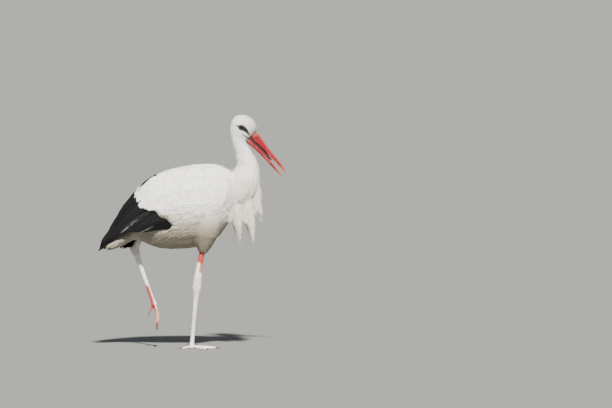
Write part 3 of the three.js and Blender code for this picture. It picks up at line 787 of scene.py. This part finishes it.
def over(net, x, z):
    """The net's value between its knots."""
    a = np.clip((x - net_x[0]) / NET_STEP, 0, len(net_x) - 1.01)
    b = np.clip((z - net_z[0]) / NET_STEP, 0, len(net_z) - 1.01)
    i, j = a.astype(int), b.astype(int)
    a, b = a - i, b - j
    return ((1 - a) * (1 - b) * net[i, j] + a * (1 - b) * net[i + 1, j]
            + (1 - a) * b * net[i, j + 1] + a * b * net[i + 1, j + 1])


for side, turn in SIDES.items():
    bare_net = np.full((len(net_x), len(net_z)), NET_EMPTY)
    for i, j in np.ndindex(bare_net.shape):
        hit = from_side(outer_tree, net_x[i], net_z[j], turn)[0]
        if hit:
            bare_net[i, j] = hit.y * turn / MM
    net = widened(widened(bare_net, np.max), np.min)
    slope_x, slope_z = np.gradient(net, NET_STEP)
    tip_x = chance.uniform(*VEIL_SPAN, VEIL_PLUMES)
    rise = chance.random(VEIL_PLUMES)
    tip_z = np.interp(tip_x, *np.array(VEIL_HEM).T) * (1 - rise) + VEIL_TOP * rise
    long = chance.uniform(*VEIL_LENGTHS, VEIL_PLUMES)
    steps = vane_steps(VEIL_ROWS)
    sway = chance.normal(0, 0.05, VEIL_PLUMES)
    x = tip_x[:, None] - (VEIL_BACKWARD + sway[:, None]) * long[:, None] * (1 - steps)
    z = tip_z[:, None] + long[:, None] * (1 - steps)
    kept = ((over(net, x, z) > 1).all(axis=1) & (over(bare_net, x[:, 0], z[:, 0]) > ROOT_COVER)
            & (z[:, 0] < ROOT_TOP))
    x, z = x[kept], z[kept]
    proud = chance.uniform(0.3, 2.2, (len(x), 1)) * steps - 7 * (1 - steps) ** 2
    spine = np.stack([x, turn * (over(net, x, z) + proud), z], axis=2) * MM
    up = unit(np.stack([-over(slope_x, x, z), np.full(x.shape, turn), -over(slope_z, x, z)], axis=2))
    halves = chance.uniform(*VEIL_HALVES, len(x)) * MM
    veil = feather_mesh(f"coat_veil_{side}", spine, up, halves, pointed, 2, camber=0.3, fray=0.06, twist=9)
    add_piece(veil, [white_feather])


# ---------------------------------------------------------------- body coat
# White contour feathers clothe the folded arm in rounded rows and hang from belly and thighs in loose
# plumes. Along the ridge they stop short, where the black inner quills come up from beneath.
RIDGE_X, RIDGE_Z = np.array([(-0.244, 0.484), (-0.219, 0.511), (-0.188, 0.547), (-0.148, 0.588),
                             (-0.098, 0.609)]).T
RIDGE_BAND, RIDGE_FADE, RIDGE_FRONT = {"right": 18, "left": 24}, (-0.200, -0.176), -0.128
COVERTS_END, BELLY_TOP, SHOULDER_BACK = -0.292, 470 * MM, 70 * MM
ridge_top = np.interp(quad_at[:, 0], RIDGE_X, RIDGE_Z)
is_trunk = quad_part == "trunk"
belly = is_trunk & (quad_at[:, 2] < BELLY_TOP)
coat("coat_tail_coverts", (quad_part == "tail") & (quad_at[:, 0] > COVERTS_END), 9.0, 66, 8.0, rounded,
     8, 4, stray=5, fray=0.08)
for side, turn in SIDES.items():
    own_side = quad_at[:, 1] * turn > 0
    coat(f"coat_flank_{side}", belly & own_side, 4.4, 60, 3.8, pointed, 8, 2, stray=11, fray=0.14,
         camber=0.3, twist=9, loose=2.2)
    coat(f"coat_thigh_{side}", (quad_part == "thigh") & own_side, 3.3, 40, 2.8, pointed, 7, 2,
         chart="thigh", stray=10, fray=0.12, camber=0.3, twist=9, loose=1.6)
    band = RIDGE_BAND[side] * MM * (smooth(*RIDGE_FADE, quad_at[:, 0]) if side == "right" else 1)
    at_ridge = (quad_at[:, 0] < RIDGE_FRONT) & (quad_at[:, 2] > ridge_top - band)
    is_wing = (quad_part == "wing") & own_side & ~at_ridge
    shoulder = quad_at[:, 0] > SHOULDER_BACK
    coat(f"coat_shoulder_{side}", is_wing & shoulder, 6.0, 30, 5.0, rounded, 7, 4, stray=7, fray=0.08,
         camber=0.2, twist=7)
    coat(f"coat_coverts_{side}", is_wing & ~shoulder, 10.5, 44, 8.6, rounded, 9, 6, stray=5, fray=0.05,
         camber=0.16, twist=5, loose=1.0)


# ---------------------------------------------------------------- covert border
# The last row of wing coverts ends in broad white lobes over the black quills. A close row draws the
# edge itself, and single longer feathers on top of it draw the lobes.
def along_line(corners, shares):
    """Points at equal shares of a bent line's length."""
    corners = np.array(corners, dtype=float)
    reach = np.concatenate([[0], np.cumsum(np.linalg.norm(np.diff(corners, axis=0), axis=1))])
    return np.stack([np.interp(np.asarray(shares) * reach[-1], reach, corners[:, k]) for k in (0, 1)],
                    axis=1)


def full_tip(steps):
    """A broad covert, wide almost to its tip."""
    return rounded(steps, 0.78)


COVERT_EDGE = [(66, 463), (0, 459), (-32, 437), (-58, 425), (-70, 436), (-84, 455), (-104, 454),
               (-124, 479), (-146, 473), (-164, 483), (-178, 479), (-184, 500), (-189, 506)]
COVERT_LOBES = [(-24, 446), (-44, 428), (-61, 418), (-79, 437), (-95, 446), (-112, 448), (-132, 464),
                (-150, 467), (-165, 478), (-178, 474), (-185, 494)]
EDGE_FEATHERS, BORDER_ROWS, BORDER_LENGTH, BORDER_LEAN = 24, 12, 58 * MM, 14
LOBE_REACH, EDGE_REACH, LOBE_HALF, EDGE_HALF, LOBE_RISE = 2.1, -2.2, 12.5, 10, 0.35
for side, turn in SIDES.items():
    rim = []
    for x, z in [*along_line(COVERT_EDGE, np.linspace(0, 1, EDGE_FEATHERS)), *COVERT_LOBES]:
        hit = from_side(outer_tree, x, z, turn)[0]
        rim.append(hit if hit else outer_tree.find_nearest(Vector((x * MM, turn * 0.08, z * MM)))[0])
    lobes = np.arange(len(rim)) >= EDGE_FEATHERS
    spine, up = lay_over(rim, np.full(len(rim), BORDER_LENGTH), BORDER_ROWS, stray=3, loose=0.3,
                         lean=BORDER_LEAN * turn)
    onward = unit(spine[:, -2] - spine[:, -4])
    for station, reach in ((-3, 1), (-2, 3), (-1, 5)):
        run_on = np.linalg.norm(spine[:, station] - spine[:, -4], axis=1)
        run_on = run_on + np.where(lobes, LOBE_REACH, EDGE_REACH) * reach * MM
        spine[:, station] = spine[:, -4] + onward * run_on[:, None]
    spine += up * LOBE_RISE * MM * lobes[:, None, None] * vane_steps(BORDER_ROWS)[None, :, None]
    halves = np.where(lobes, LOBE_HALF, EDGE_HALF) * MM
    border = feather_mesh(f"coat_border_{side}", spine, up, halves, full_tip, 8, camber=0.12, fray=0.02)
    add_piece(border, [white_feather])


# ---------------------------------------------------------------- leg scales
# The bare legs wear small overlapping horn plates, thin as paper, that grow out of the skin and run
# down the shank and out along the toes. None lies under the soles.
PLATE_SPACING, PLATE_LENGTH, PLATE_HALF, PLATE_RISE, PLATE_ROWS = 3.3 * MM, 5 * MM, 2.1 * MM, 0.25 * MM, 3
SOLE_CLEAR = 1.2 * MM
bare_leg = np.isin(quad_part, ("tibia", "tarsus", "toe")) & (quad_at[:, 2] > SOLE_CLEAR)
tips = scatter(bare_leg, PLATE_SPACING)
spine, up = lay_over(tips, np.full(len(tips), PLATE_LENGTH), PLATE_ROWS, stray=5, loose=0)
spine += up * PLATE_RISE * vane_steps(PLATE_ROWS)[None, :, None]
plates = feather_mesh("leg_scales", spine, up, np.full(len(tips), PLATE_HALF), rounded, 2, camber=0.3,
                      fray=0, twist=2, chart="thigh")
write_on(plates, "limed", limed_share(read(plates.vertices, "co", 3)))
add_piece(plates, [leg_skin])


# ---------------------------------------------------------------- back
# Rounded white feathers cover the back between the wings. They stop short of the ridge as well, so
# that none stands up between the black quills that meet over it.
BACK_BAND, BACK_FRONT = 12 * MM, -0.12
beside_ridge = (quad_at[:, 0] < BACK_FRONT) & (quad_at[:, 2] > ridge_top - BACK_BAND)
coat("coat_back", is_trunk & ~belly & ~beside_ridge, 9.0, 44, 8.0, rounded, 7, 4, fray=0.06)


# ---------------------------------------------------------------- flight feathers
# The folded wing ends in long black quills, each a stiff vane on a raised shaft. The inner ones roof
# the back, the secondaries show along the lower edge, and the primaries lie deepest and reach the tip.
LOWER_EDGE = {
    "right": [(-68, 409), (-112, 404), (-165, 395), (-217, 396), (-250, 389), (-278, 373), (-302, 356),
              (-324, 330)],
    "left": [(-68, 404), (-112, 391), (-165, 366), (-205, 336), (-230, 324), (-262, 334), (-296, 344),
             (-324, 330)]}
RIDGE = [(-324, 331), (-316, 350), (-301, 388), (-279, 424), (-257, 461), (-244, 484), (-219, 511),
         (-188, 547), (-148, 588), (-98, 609), (-30, 627)]
RIDGE_BANDS, RIDGE_ROOT_X, RIDGE_TIP_X = (88, 13), (-112, -88), (-315, -212)
QUILL_ROOTS = [(30, 482), (-20, 472), (-75, 500), (-110, 545)]
SECONDARIES, PRIMARIES, INNER_QUILLS = 15, 10, 12
GREY_STREAKS = [((-188, 440), (-238, 399)), ((-128, 422), (-186, 393))]
QUILL_ACROSS = (-1, -0.72, -0.4, -0.14, -0.045, 0, 0.045, 0.14, 0.4, 0.72, 1)
QUILL_ROWS, QUILL_INSET, QUILL_BOW = 16, 0.25, 8.0
HALF_INNER, HALF_PRIMARY, HALF_SECONDARY = 19, 13, 16
TIP_DEPTH_INNER, TIP_DEPTH_PRIMARY, TIP_DEPTH_SECONDARY, INNER_STEP, OUTER_STEP = 1.8, 3.4, 2.6, 0.1, 0.05
ROOT_DEPTH_INNER, ROOT_DEPTH_OUTER = 5.0, 10.5


def blade(steps):
    """A flight feather: near full width from a quarter of its length, with a blunt tip."""
    falling = 1 - np.clip((steps - 0.78) / 0.22, 0, 1) ** 2.4
    return np.maximum(smooth(-0.3, 0.25, steps) * falling, 0.05)


def streak_marks(points):
    """Where a grey worn edge lies on the black."""
    x, y, z = (points / MM).T
    grey = np.zeros(len(points))
    for start, end in GREY_STREAKS:
        t, gap = off_line(x, z, start, end, endless=True)
        grey = np.maximum(grey, (1 - smooth(0.5, 1.8, gap)) * smooth(-0.1, 0.15, t) * smooth(1.1, 0.85, t))
    return np.stack([grey, 0 * x, 0 * x], axis=1)


QUILL_BLACK, QUILL_SLATE, WORN_BROWN = (0.0028, 0.0028, 0.0035), (0.009, 0.0085, 0.009), (0.040, 0.038, 0.038)
WORN_GREY = (0.17, 0.17, 0.18)
black_feather, tree, shader = new_material("black_feather", 0.55, Specular_IOR_Level=0.13)
grain = node_in(tree, "ShaderNodeGroup", node_tree=barbs("quill_barbs", 420.0))
grain.inputs["Coarseness"].default_value = 5.0
off_shaft = maths(tree, "ABSOLUTE", grain.outputs["Across"])
worn = maths(tree, "MAXIMUM", ranged(tree, off_shaft, 0.86, 0.98, 0.0, 0.35),
             ranged(tree, off_shaft, 0.02, 0.06, 0.5, 0.0))
streaked = times(tree, shares(tree, "marks")[0], ranged(tree, grain.outputs["Streak"], 0.3, 0.5))
paint(tree, shader, QUILL_BLACK, (ranged(tree, grain.outputs["Streak"], 0.35, 0.7), QUILL_SLATE),
      (worn, WORN_BROWN), (streaked, WORN_GREY))
raise_by(tree, shader, grain.outputs["Height"], 0.4, 0.4 * MM)

for side, turn in SIDES.items():
    roof, _, _ = cast_over([f"wing_{side}", f"flight_feathers_{side}"])
    sheet = bmesh.new()
    sheet.from_mesh(roof)
    bpy.data.meshes.remove(roof)
    soften(sheet, sheet.verts, 0.5, 10)
    sheet.normal_update()
    roof_tree = BVHTree.FromBMesh(sheet)
    sheet_out = [v.normal.copy() for v in sheet.verts]
    sheet_corners = [[v.index for v in f.verts] for f in sheet.faces]
    sheet.free()

    low = np.linspace(0, 1, SECONDARIES + PRIMARIES)
    high = np.linspace(0, 1, INNER_QUILLS)
    ends = np.concatenate([along_line(LOWER_EDGE[side], low), np.zeros((INNER_QUILLS, 2))])
    starts_at = np.concatenate([along_line(QUILL_ROOTS, low), np.zeros((INNER_QUILLS, 2))])
    order = np.arange(len(ends))
    is_primary, is_inner = order >= SECONDARIES, order >= SECONDARIES + PRIMARIES
    inner_depth = TIP_DEPTH_INNER - INNER_STEP * order + INNER_STEP * (SECONDARIES + PRIMARIES)
    outer_depth = np.where(is_primary, TIP_DEPTH_PRIMARY, TIP_DEPTH_SECONDARY - OUTER_STEP * order)
    tip_depth = np.where(is_inner, inner_depth, outer_depth) * MM
    root_depth = np.where(is_inner, ROOT_DEPTH_INNER, ROOT_DEPTH_OUTER) * MM
    widths = np.where(is_inner, HALF_INNER, np.where(is_primary, HALF_PRIMARY, HALF_SECONDARY)) * MM
    steps = vane_steps(QUILL_ROWS)
    spine, up = np.zeros((len(ends), QUILL_ROWS + 1, 3)), np.zeros((len(ends), QUILL_ROWS + 1, 3))
    for i, (start, end) in enumerate(zip(starts_at, ends)):
        for j, t in enumerate(steps):
            if is_inner[i]:
                rank = high[i - SECONDARIES - PRIMARIES]
                root_x, tip_x, band = (np.interp(rank, (0, 1), ends_of) for ends_of in (
                    RIDGE_ROOT_X, RIDGE_TIP_X, RIDGE_BANDS))
                x = np.interp(t, (0, 1), (root_x, tip_x))
                z = np.interp(x, *np.array(RIDGE).T) - band * (1 - 0.72 * t)
            else:
                middle = (end - start) / np.linalg.norm(end - start)
                inset = np.array([-middle[1], middle[0]]) * widths[i] / MM * -QUILL_INSET * (
                    1 - 0.75 * float(smooth(-270, -318, end[0])))
                x, z = start + (end + inset - start) * t + np.array([0, QUILL_BOW]) * math.sin(math.pi * t)
            hit, _, quad, _ = from_side(roof_tree, x, z, turn)
            if hit is None or hit.y * turn < 0:
                hit, _, quad, _ = roof_tree.find_nearest(Vector((x * MM, turn * 20 * MM, z * MM)))
            out = sum((sheet_out[k] for k in sheet_corners[quad]), Vector()).normalized()
            spine[i, j] = hit - out * (tip_depth[i] + (root_depth[i] - tip_depth[i]) * (1 - t))
            up[i, j] = out
    for _ in range(3):
        spine[:, 1:-1] = (spine[:, :-2] + 2 * spine[:, 1:-1] + spine[:, 2:]) / 4
        up[:, 1:-1] = unit((up[:, :-2] + 2 * up[:, 1:-1] + up[:, 2:]) / 4)
    quills = feather_mesh(f"quills_{side}", spine, up, widths, blade, QUILL_ACROSS, camber=0.1, fray=0.012,
                          twist=1.5, shaft=0.9 * MM, marks_of=streak_marks)
    add_piece(quills, [black_feather], replaced=[f"flight_feathers_{side}"])


# ---------------------------------------------------------------- tail feathers
# Twelve stiff white feathers, each a vane on a raised shaft, spread a little under the wings' tips
# with the middle pair uppermost. Their roots lie in the tail's flesh.
TAIL_FEATHERS, TAIL_ROOT, TAIL_END, TAIL_HALF = 12, (-172, 420), (-303, 344), 15
TAIL_APART, TAIL_FAN, TAIL_STACK, TAIL_SAG = 2.6, 2.1, 0.9, 3
rank = np.arange(TAIL_FEATHERS) - (TAIL_FEATHERS - 1) / 2
steps = vane_steps(QUILL_ROWS)[None, :, None]
spine = np.concatenate([
    TAIL_ROOT[0] + (TAIL_END[0] + 0.5 * np.abs(rank)[:, None, None] - TAIL_ROOT[0]) * steps,
    rank[:, None, None] * (TAIL_APART + TAIL_FAN * steps),
    TAIL_ROOT[1] + (TAIL_END[1] - TAIL_ROOT[1]) * steps - TAIL_STACK * np.abs(rank)[:, None, None]
    - TAIL_SAG * np.sin(math.pi * steps)], axis=2) * MM
up = unit(np.stack([np.full(spine.shape[:2], 0.5), np.broadcast_to(rank[:, None] * 0.05, spine.shape[:2]),
                    np.full(spine.shape[:2], 0.86)], axis=2))
tail_mesh = feather_mesh("tail_feathers", spine, up, np.full(TAIL_FEATHERS, TAIL_HALF * MM), blade,
                         QUILL_ACROSS, camber=0.06, fray=0.015, twist=1.5, shaft=0.6 * MM)
add_piece(tail_mesh, [white_feather])


# ---------------------------------------------------------------- bill
# Two long horn mandibles, grown over the jaws and a little open. The upper one has a ridge along its
# top and a nostril slit in a groove, the slit painted dark as shade. Both are red and paler at the worn
# tips, with a pink painted highlight along a band high on each and painted shade inside the mouth and
# under the lower one.
# A dark red lining, painted near black as the shade inside the open bill, closes the gape between them.
UPPER = dict(start=(212, 716), end=(320.7, 598.3), rows=[
    (-0.16, 17, 9, 12), (0, 21.5, 10, 14.5), (0.16, 17.4, 7, 12), (0.33, 14, 4.4, 9.6), (0.5, 12.2, 2.2, 7.6),
    (0.68, 10.4, 1, 5.6), (0.85, 8, 0.7, 3.7), (0.95, 4.6, 0.9, 2.2), (1, 0.9, 0.8, 0.8)])
LOWER = dict(start=(192, 704), end=(305, 590), rows=[
    (-0.1, 8, 5.4, 9), (0, 11.5, 5, 11.2), (0.18, 12.6, 2, 10.2), (0.35, 12.2, 1, 8.4), (0.52, 10, 1.4, 6.6),
    (0.7, 7, 2.2, 4.8), (0.87, 4.6, 2.2, 3.1), (0.96, 3.4, 2, 1.9), (1, 0.9, 0.9, 0.7)])
MOUTH = dict(start=(190, 721), end=(272, 641), rows=[
    (0, 3, 3, 8), (0.12, 6.2, 6.2, 9), (0.45, 6.2, 5.6, 7), (0.8, 4.8, 4.2, 4.6), (1, 2.2, 1.2, 1.6)])
BILL_ROUND, BILL_STATIONS = 48, 120
NOSTRIL, NOSTRIL_HALF, NOSTRIL_DEPTH = ((212, 727), (221, 716.5)), 1.3, 0.9

DEEP_RED, BILL_RED, BLOTCH_PINK = (0.12, 0.002, 0.006), (0.28, 0.004, 0.011), (0.46, 0.08, 0.08)
TIP_ORANGE, RIDGE_HIGHLIGHT, HORN_SHADE = (0.62, 0.20, 0.12), (0.66, 0.15, 0.11), (0.035, 0.008, 0.008)
NOSTRIL_SHADE, MOUTH_SHADE, MOUTH_WET = (0.02, 0.004, 0.004), (0.025, 0.004, 0.005), (0.07, 0.012, 0.012)
horn_red, tree, shader = new_material("bill_horn", 0.33, Coat_Weight=0.1)
along, inner, ridge = shares(tree, "horn")
place = own_place(tree)
turned = node_in(tree, "ShaderNodeMapping",
                 {"Vector": place, "Rotation": (0, math.radians(-47), 0), "Scale": (1, 9, 9)})
fibre = noise(tree, turned.outputs[0], 38.0, 5.0)
nostril = node_in(tree, "ShaderNodeAttribute", attribute_name="nostril").outputs["Fac"]
# Pink painted highlight on the ridge band; painted shade inside the mouth, under the lower mandible and in
# the nostril.
paint(tree, shader, DEEP_RED, (ranged(tree, fibre, 0.35, 0.65), BILL_RED),
      (ranged(tree, noise(tree, place, 60.0, 3.0), 0.56, 0.70, 0.0, 0.4), BLOTCH_PINK),
      (ranged(tree, along, 0.76, 1.0, 0.0, 0.5), TIP_ORANGE),
      (ranged(tree, ridge, 0.0, 1.0, 0.0, 0.4), RIDGE_HIGHLIGHT), (inner, HORN_SHADE), (nostril, NOSTRIL_SHADE))
raise_by(tree, shader, fibre, 0.35, 0.6 * MM)
mouth_red, tree, shader = new_material("mouth_lining", 0.5)
# The lining is painted near black as the shade inside the open bill.
paint(tree, shader, MOUTH_SHADE, (noise(tree, own_place(tree), 200.0), MOUTH_WET))


def mandible(name, start, end, rows, finish, crest=False, replaced=()):
    """One part of the bill, a grid rolled into a tapering tube along its line and closed at both ends."""
    horn = bmesh.new()
    bmesh.ops.create_grid(horn, x_segments=BILL_ROUND, y_segments=BILL_STATIONS, size=0.5)
    start, end, rows = np.array(start, float), np.array(end, float), np.array(rows)
    run = (end - start) / np.linalg.norm(end - start)
    rise = np.array([-run[1], run[0]])
    kept = []
    for v in horn.verts:
        share = rows[0, 0] + (v.co.y + 0.5) ** 0.85 * (1 - rows[0, 0])
        above, below, half = (np.interp(share, rows[:, 0], rows[:, k]) for k in (1, 2, 3))
        angle = v.co.x * math.tau
        lift, across = math.cos(angle), math.sin(angle)
        # A band high on each mandible is marked for a pink painted highlight.
        ridge = max(0.0, lift) ** 6 if crest else math.exp(-((lift - 0.8) / 0.12) ** 2)
        high = (above if lift > 0 else below) * math.copysign(abs(lift) ** (1.12 if crest else 0.95), lift)
        wide = half * math.copysign(abs(across) ** (1.06 if crest else 0.9), across)
        if crest:
            groove = 0.5 * math.exp(-((high - 0.42 * above) / (0.12 * above)) ** 2) * (share < 0.75)
            wide -= math.copysign(min(groove, half * 0.2), wide)
        x, z = start + run * share * np.linalg.norm(end - start) + rise * high
        # The nostril slit is marked to be painted dark as shade.
        gap = off_line(x, z, *NOSTRIL)[1]
        hole = 1 - float(smooth(NOSTRIL_HALF * 0.5, NOSTRIL_HALF * 1.5, gap)) if crest and lift > 0 else 0
        wide -= math.copysign(NOSTRIL_DEPTH * hole, wide)
        v.co = Vector((x, wide, z)) * MM
        # Faces turned into the mouth, and the lower mandible's underside, are marked for painted shade.
        facing = -lift if crest else lift
        mouth_shade = float(smooth(*((0.35, 0.7) if crest else (0.8, 0.95)), facing) * smooth(0.95, 0.5, share))
        shade = 0 if crest else 0.5 * float(smooth(0.2, -0.6, lift))
        kept.append((share, max(mouth_shade, shade), ridge, hole))
    values = np.array(kept)
    horn_mesh = as_mesh(horn, name)
    write_on(horn_mesh, "horn", values[:, :3])
    horn_mesh.attributes.new("nostril", "FLOAT", "POINT").data.foreach_set("value", values[:, 3])
    closed = bmesh.new()
    closed.from_mesh(horn_mesh)
    bmesh.ops.remove_doubles(closed, verts=closed.verts, dist=0.02 * MM)
    bmesh.ops.holes_fill(closed, edges=closed.edges, sides=0)
    bmesh.ops.recalc_face_normals(closed, faces=closed.faces)
    closed.to_mesh(horn_mesh)
    closed.free()
    add_piece(horn_mesh, [finish], replaced)


mandible("upper_horn", **UPPER, finish=horn_red, crest=True, replaced=["upper_bill"])
mandible("lower_horn", **LOWER, finish=horn_red, replaced=["lower_bill"])
mandible("mouth_lining", **MOUTH, finish=mouth_red)


# ---------------------------------------------------------------- eyes
# Round dark eyes of polished glass, a black pupil in a deep brown iris, set in the sockets behind
# the lids. The front bulges a little over the iris, like a wet cornea.
PUPIL, IRIS, CORNEA_RISE = 3.0 * MM, 4.8 * MM, 0.35 * MM
PUPIL_BLACK, IRIS_DARK, IRIS_BROWN, RIM_BROWN = (
    (0.002, 0.002, 0.002), (0.010, 0.005, 0.003), (0.034, 0.015, 0.008), (0.012, 0.008, 0.007))
eye_glass, tree, shader = new_material("eye_glass", 0.04, Specular_IOR_Level=0.3)
ring = node_in(tree, "ShaderNodeAttribute", attribute_name="ring").outputs["Fac"]
iris = mixed(tree, noise(tree, own_place(tree), 900.0), IRIS_DARK, IRIS_BROWN)
paint(tree, shader, PUPIL_BLACK, (ranged(tree, ring, PUPIL - 0.2 * MM, PUPIL + 0.2 * MM), iris),
      (ranged(tree, ring, IRIS - 0.3 * MM, IRIS + 0.3 * MM), RIM_BROWN))
for side, turn in SIDES.items():
    ball = bmesh.new()
    bmesh.ops.create_uvsphere(ball, u_segments=40, v_segments=24, radius=EYE_RADIUS - 0.1 * MM)
    rings = [math.hypot(v.co.x, v.co.y) if v.co.z > 0 else 1 for v in ball.verts]
    for v in ball.verts:
        if v.co.z > 0:
            v.co.z += CORNEA_RISE * max(0, 1 - (math.hypot(v.co.x, v.co.y) / IRIS) ** 2) - CORNEA_RISE
    bmesh.ops.transform(ball, verts=ball.verts, matrix=Matrix.Translation(
        (EYE_AT.x, turn * EYE_AT.y, EYE_AT.z)) @ Matrix.Rotation(math.radians(-turn * 90), 4, "X"))
    ball_mesh = as_mesh(ball, f"eyeball_{side}")
    ball_mesh.attributes.new("ring", "FLOAT", "POINT").data.foreach_set("value", rings)
    add_piece(ball_mesh, [eye_glass], replaced=[f"eye_{side}"])


# ---------------------------------------------------------------- claws
# Short blunt claws of horn, one grown over the end of each toe, grey-brown and streaked. Each takes
# the body's own claw over and rounds its edges.
CLAW_DARK, CLAW_PALE = (0.055, 0.042, 0.036), (0.16, 0.12, 0.10)
claw_horn, tree, shader = new_material("claw_horn", 0.45)
layer = noise(tree, own_place(tree), 300.0, 4.0)
paint(tree, shader, CLAW_DARK, (layer, CLAW_PALE))
raise_by(tree, shader, layer, 0.3, 0.3 * MM)
for side in SIDES:
    for toe in ("middle", "inner", "outer", "hind"):
        node = f"claw_{side}_{toe}"
        nail_mesh = as_mesh(loose_copy(node), node.replace("claw", "nail"))
        piece = add_piece(nail_mesh, [claw_horn], replaced=[node])
        rounding = piece.modifiers.new("rounding", "SUBSURF")
        rounding.levels = rounding.render_levels = 1


# ---------------------------------------------------------------- stage
# A plain grey floor of painted board, one broad soft sun and a pale sky stand in for a studio.
# The sun stands high on the bird's right and a little in front of it.
FLOOR_REACH, FLOOR_DARK, FLOOR_PALE = 90, (0.165, 0.17, 0.165), (0.180, 0.185, 0.180)
SKY_COLOUR, SKY_STRENGTH = (0.86, 0.91, 1, 1), 0.30
SUN_STRENGTH, SUN_WIDTH, SUN_COLOUR, SUN_FROM = 12.0, math.radians(4), (1, 0.96, 0.9), (0.10, -0.90, 0.98)
board = bmesh.new()
bmesh.ops.create_grid(board, x_segments=4, y_segments=4, size=FLOOR_REACH)
floor = new_object("floor", as_mesh(board, "floor"))
floor_paint, tree, shader = new_material("floor_paint", 0.9)
paint(tree, shader, FLOOR_DARK, (noise(tree, own_place(tree), 2.0, 4.0), FLOOR_PALE))
floor.data.materials.append(floor_paint)

sky = bpy.data.worlds.new("sky")
bpy.context.scene.world = sky
sky.use_nodes = True
sky.node_tree.nodes["Background"].inputs["Color"].default_value = SKY_COLOUR
sky.node_tree.nodes["Background"].inputs["Strength"].default_value = SKY_STRENGTH
sun = bpy.data.lights.new("sun", "SUN")
sun.energy, sun.angle, sun.color = SUN_STRENGTH, SUN_WIDTH, SUN_COLOUR
sun_lamp = new_object("sun", sun)
sun_lamp.rotation_euler = Vector(SUN_FROM).to_track_quat("Z", "Y").to_euler()


# ---------------------------------------------------------------- camera
# A camera with a long lens stands far to the bird's right, three degrees above its middle, so that
# the bird is seen almost exactly from the side.
LENS, SENSOR, FRAME_WIDTH, CAMERA_RISE = 400, 36, 2.081, math.radians(3)
AIM = Vector((0.3885, 0, 0.493))
camera = new_object("camera", bpy.data.cameras.new("camera"))
camera.data.lens, camera.data.sensor_width = LENS, SENSOR
camera_back = Vector((0, -math.cos(CAMERA_RISE), math.sin(CAMERA_RISE)))
camera.location = AIM + camera_back * FRAME_WIDTH * LENS / SENSOR
camera.rotation_euler = camera_back.to_track_quat("Z", "Y").to_euler()
camera.data.clip_end = 300
bpy.context.scene.camera = camera
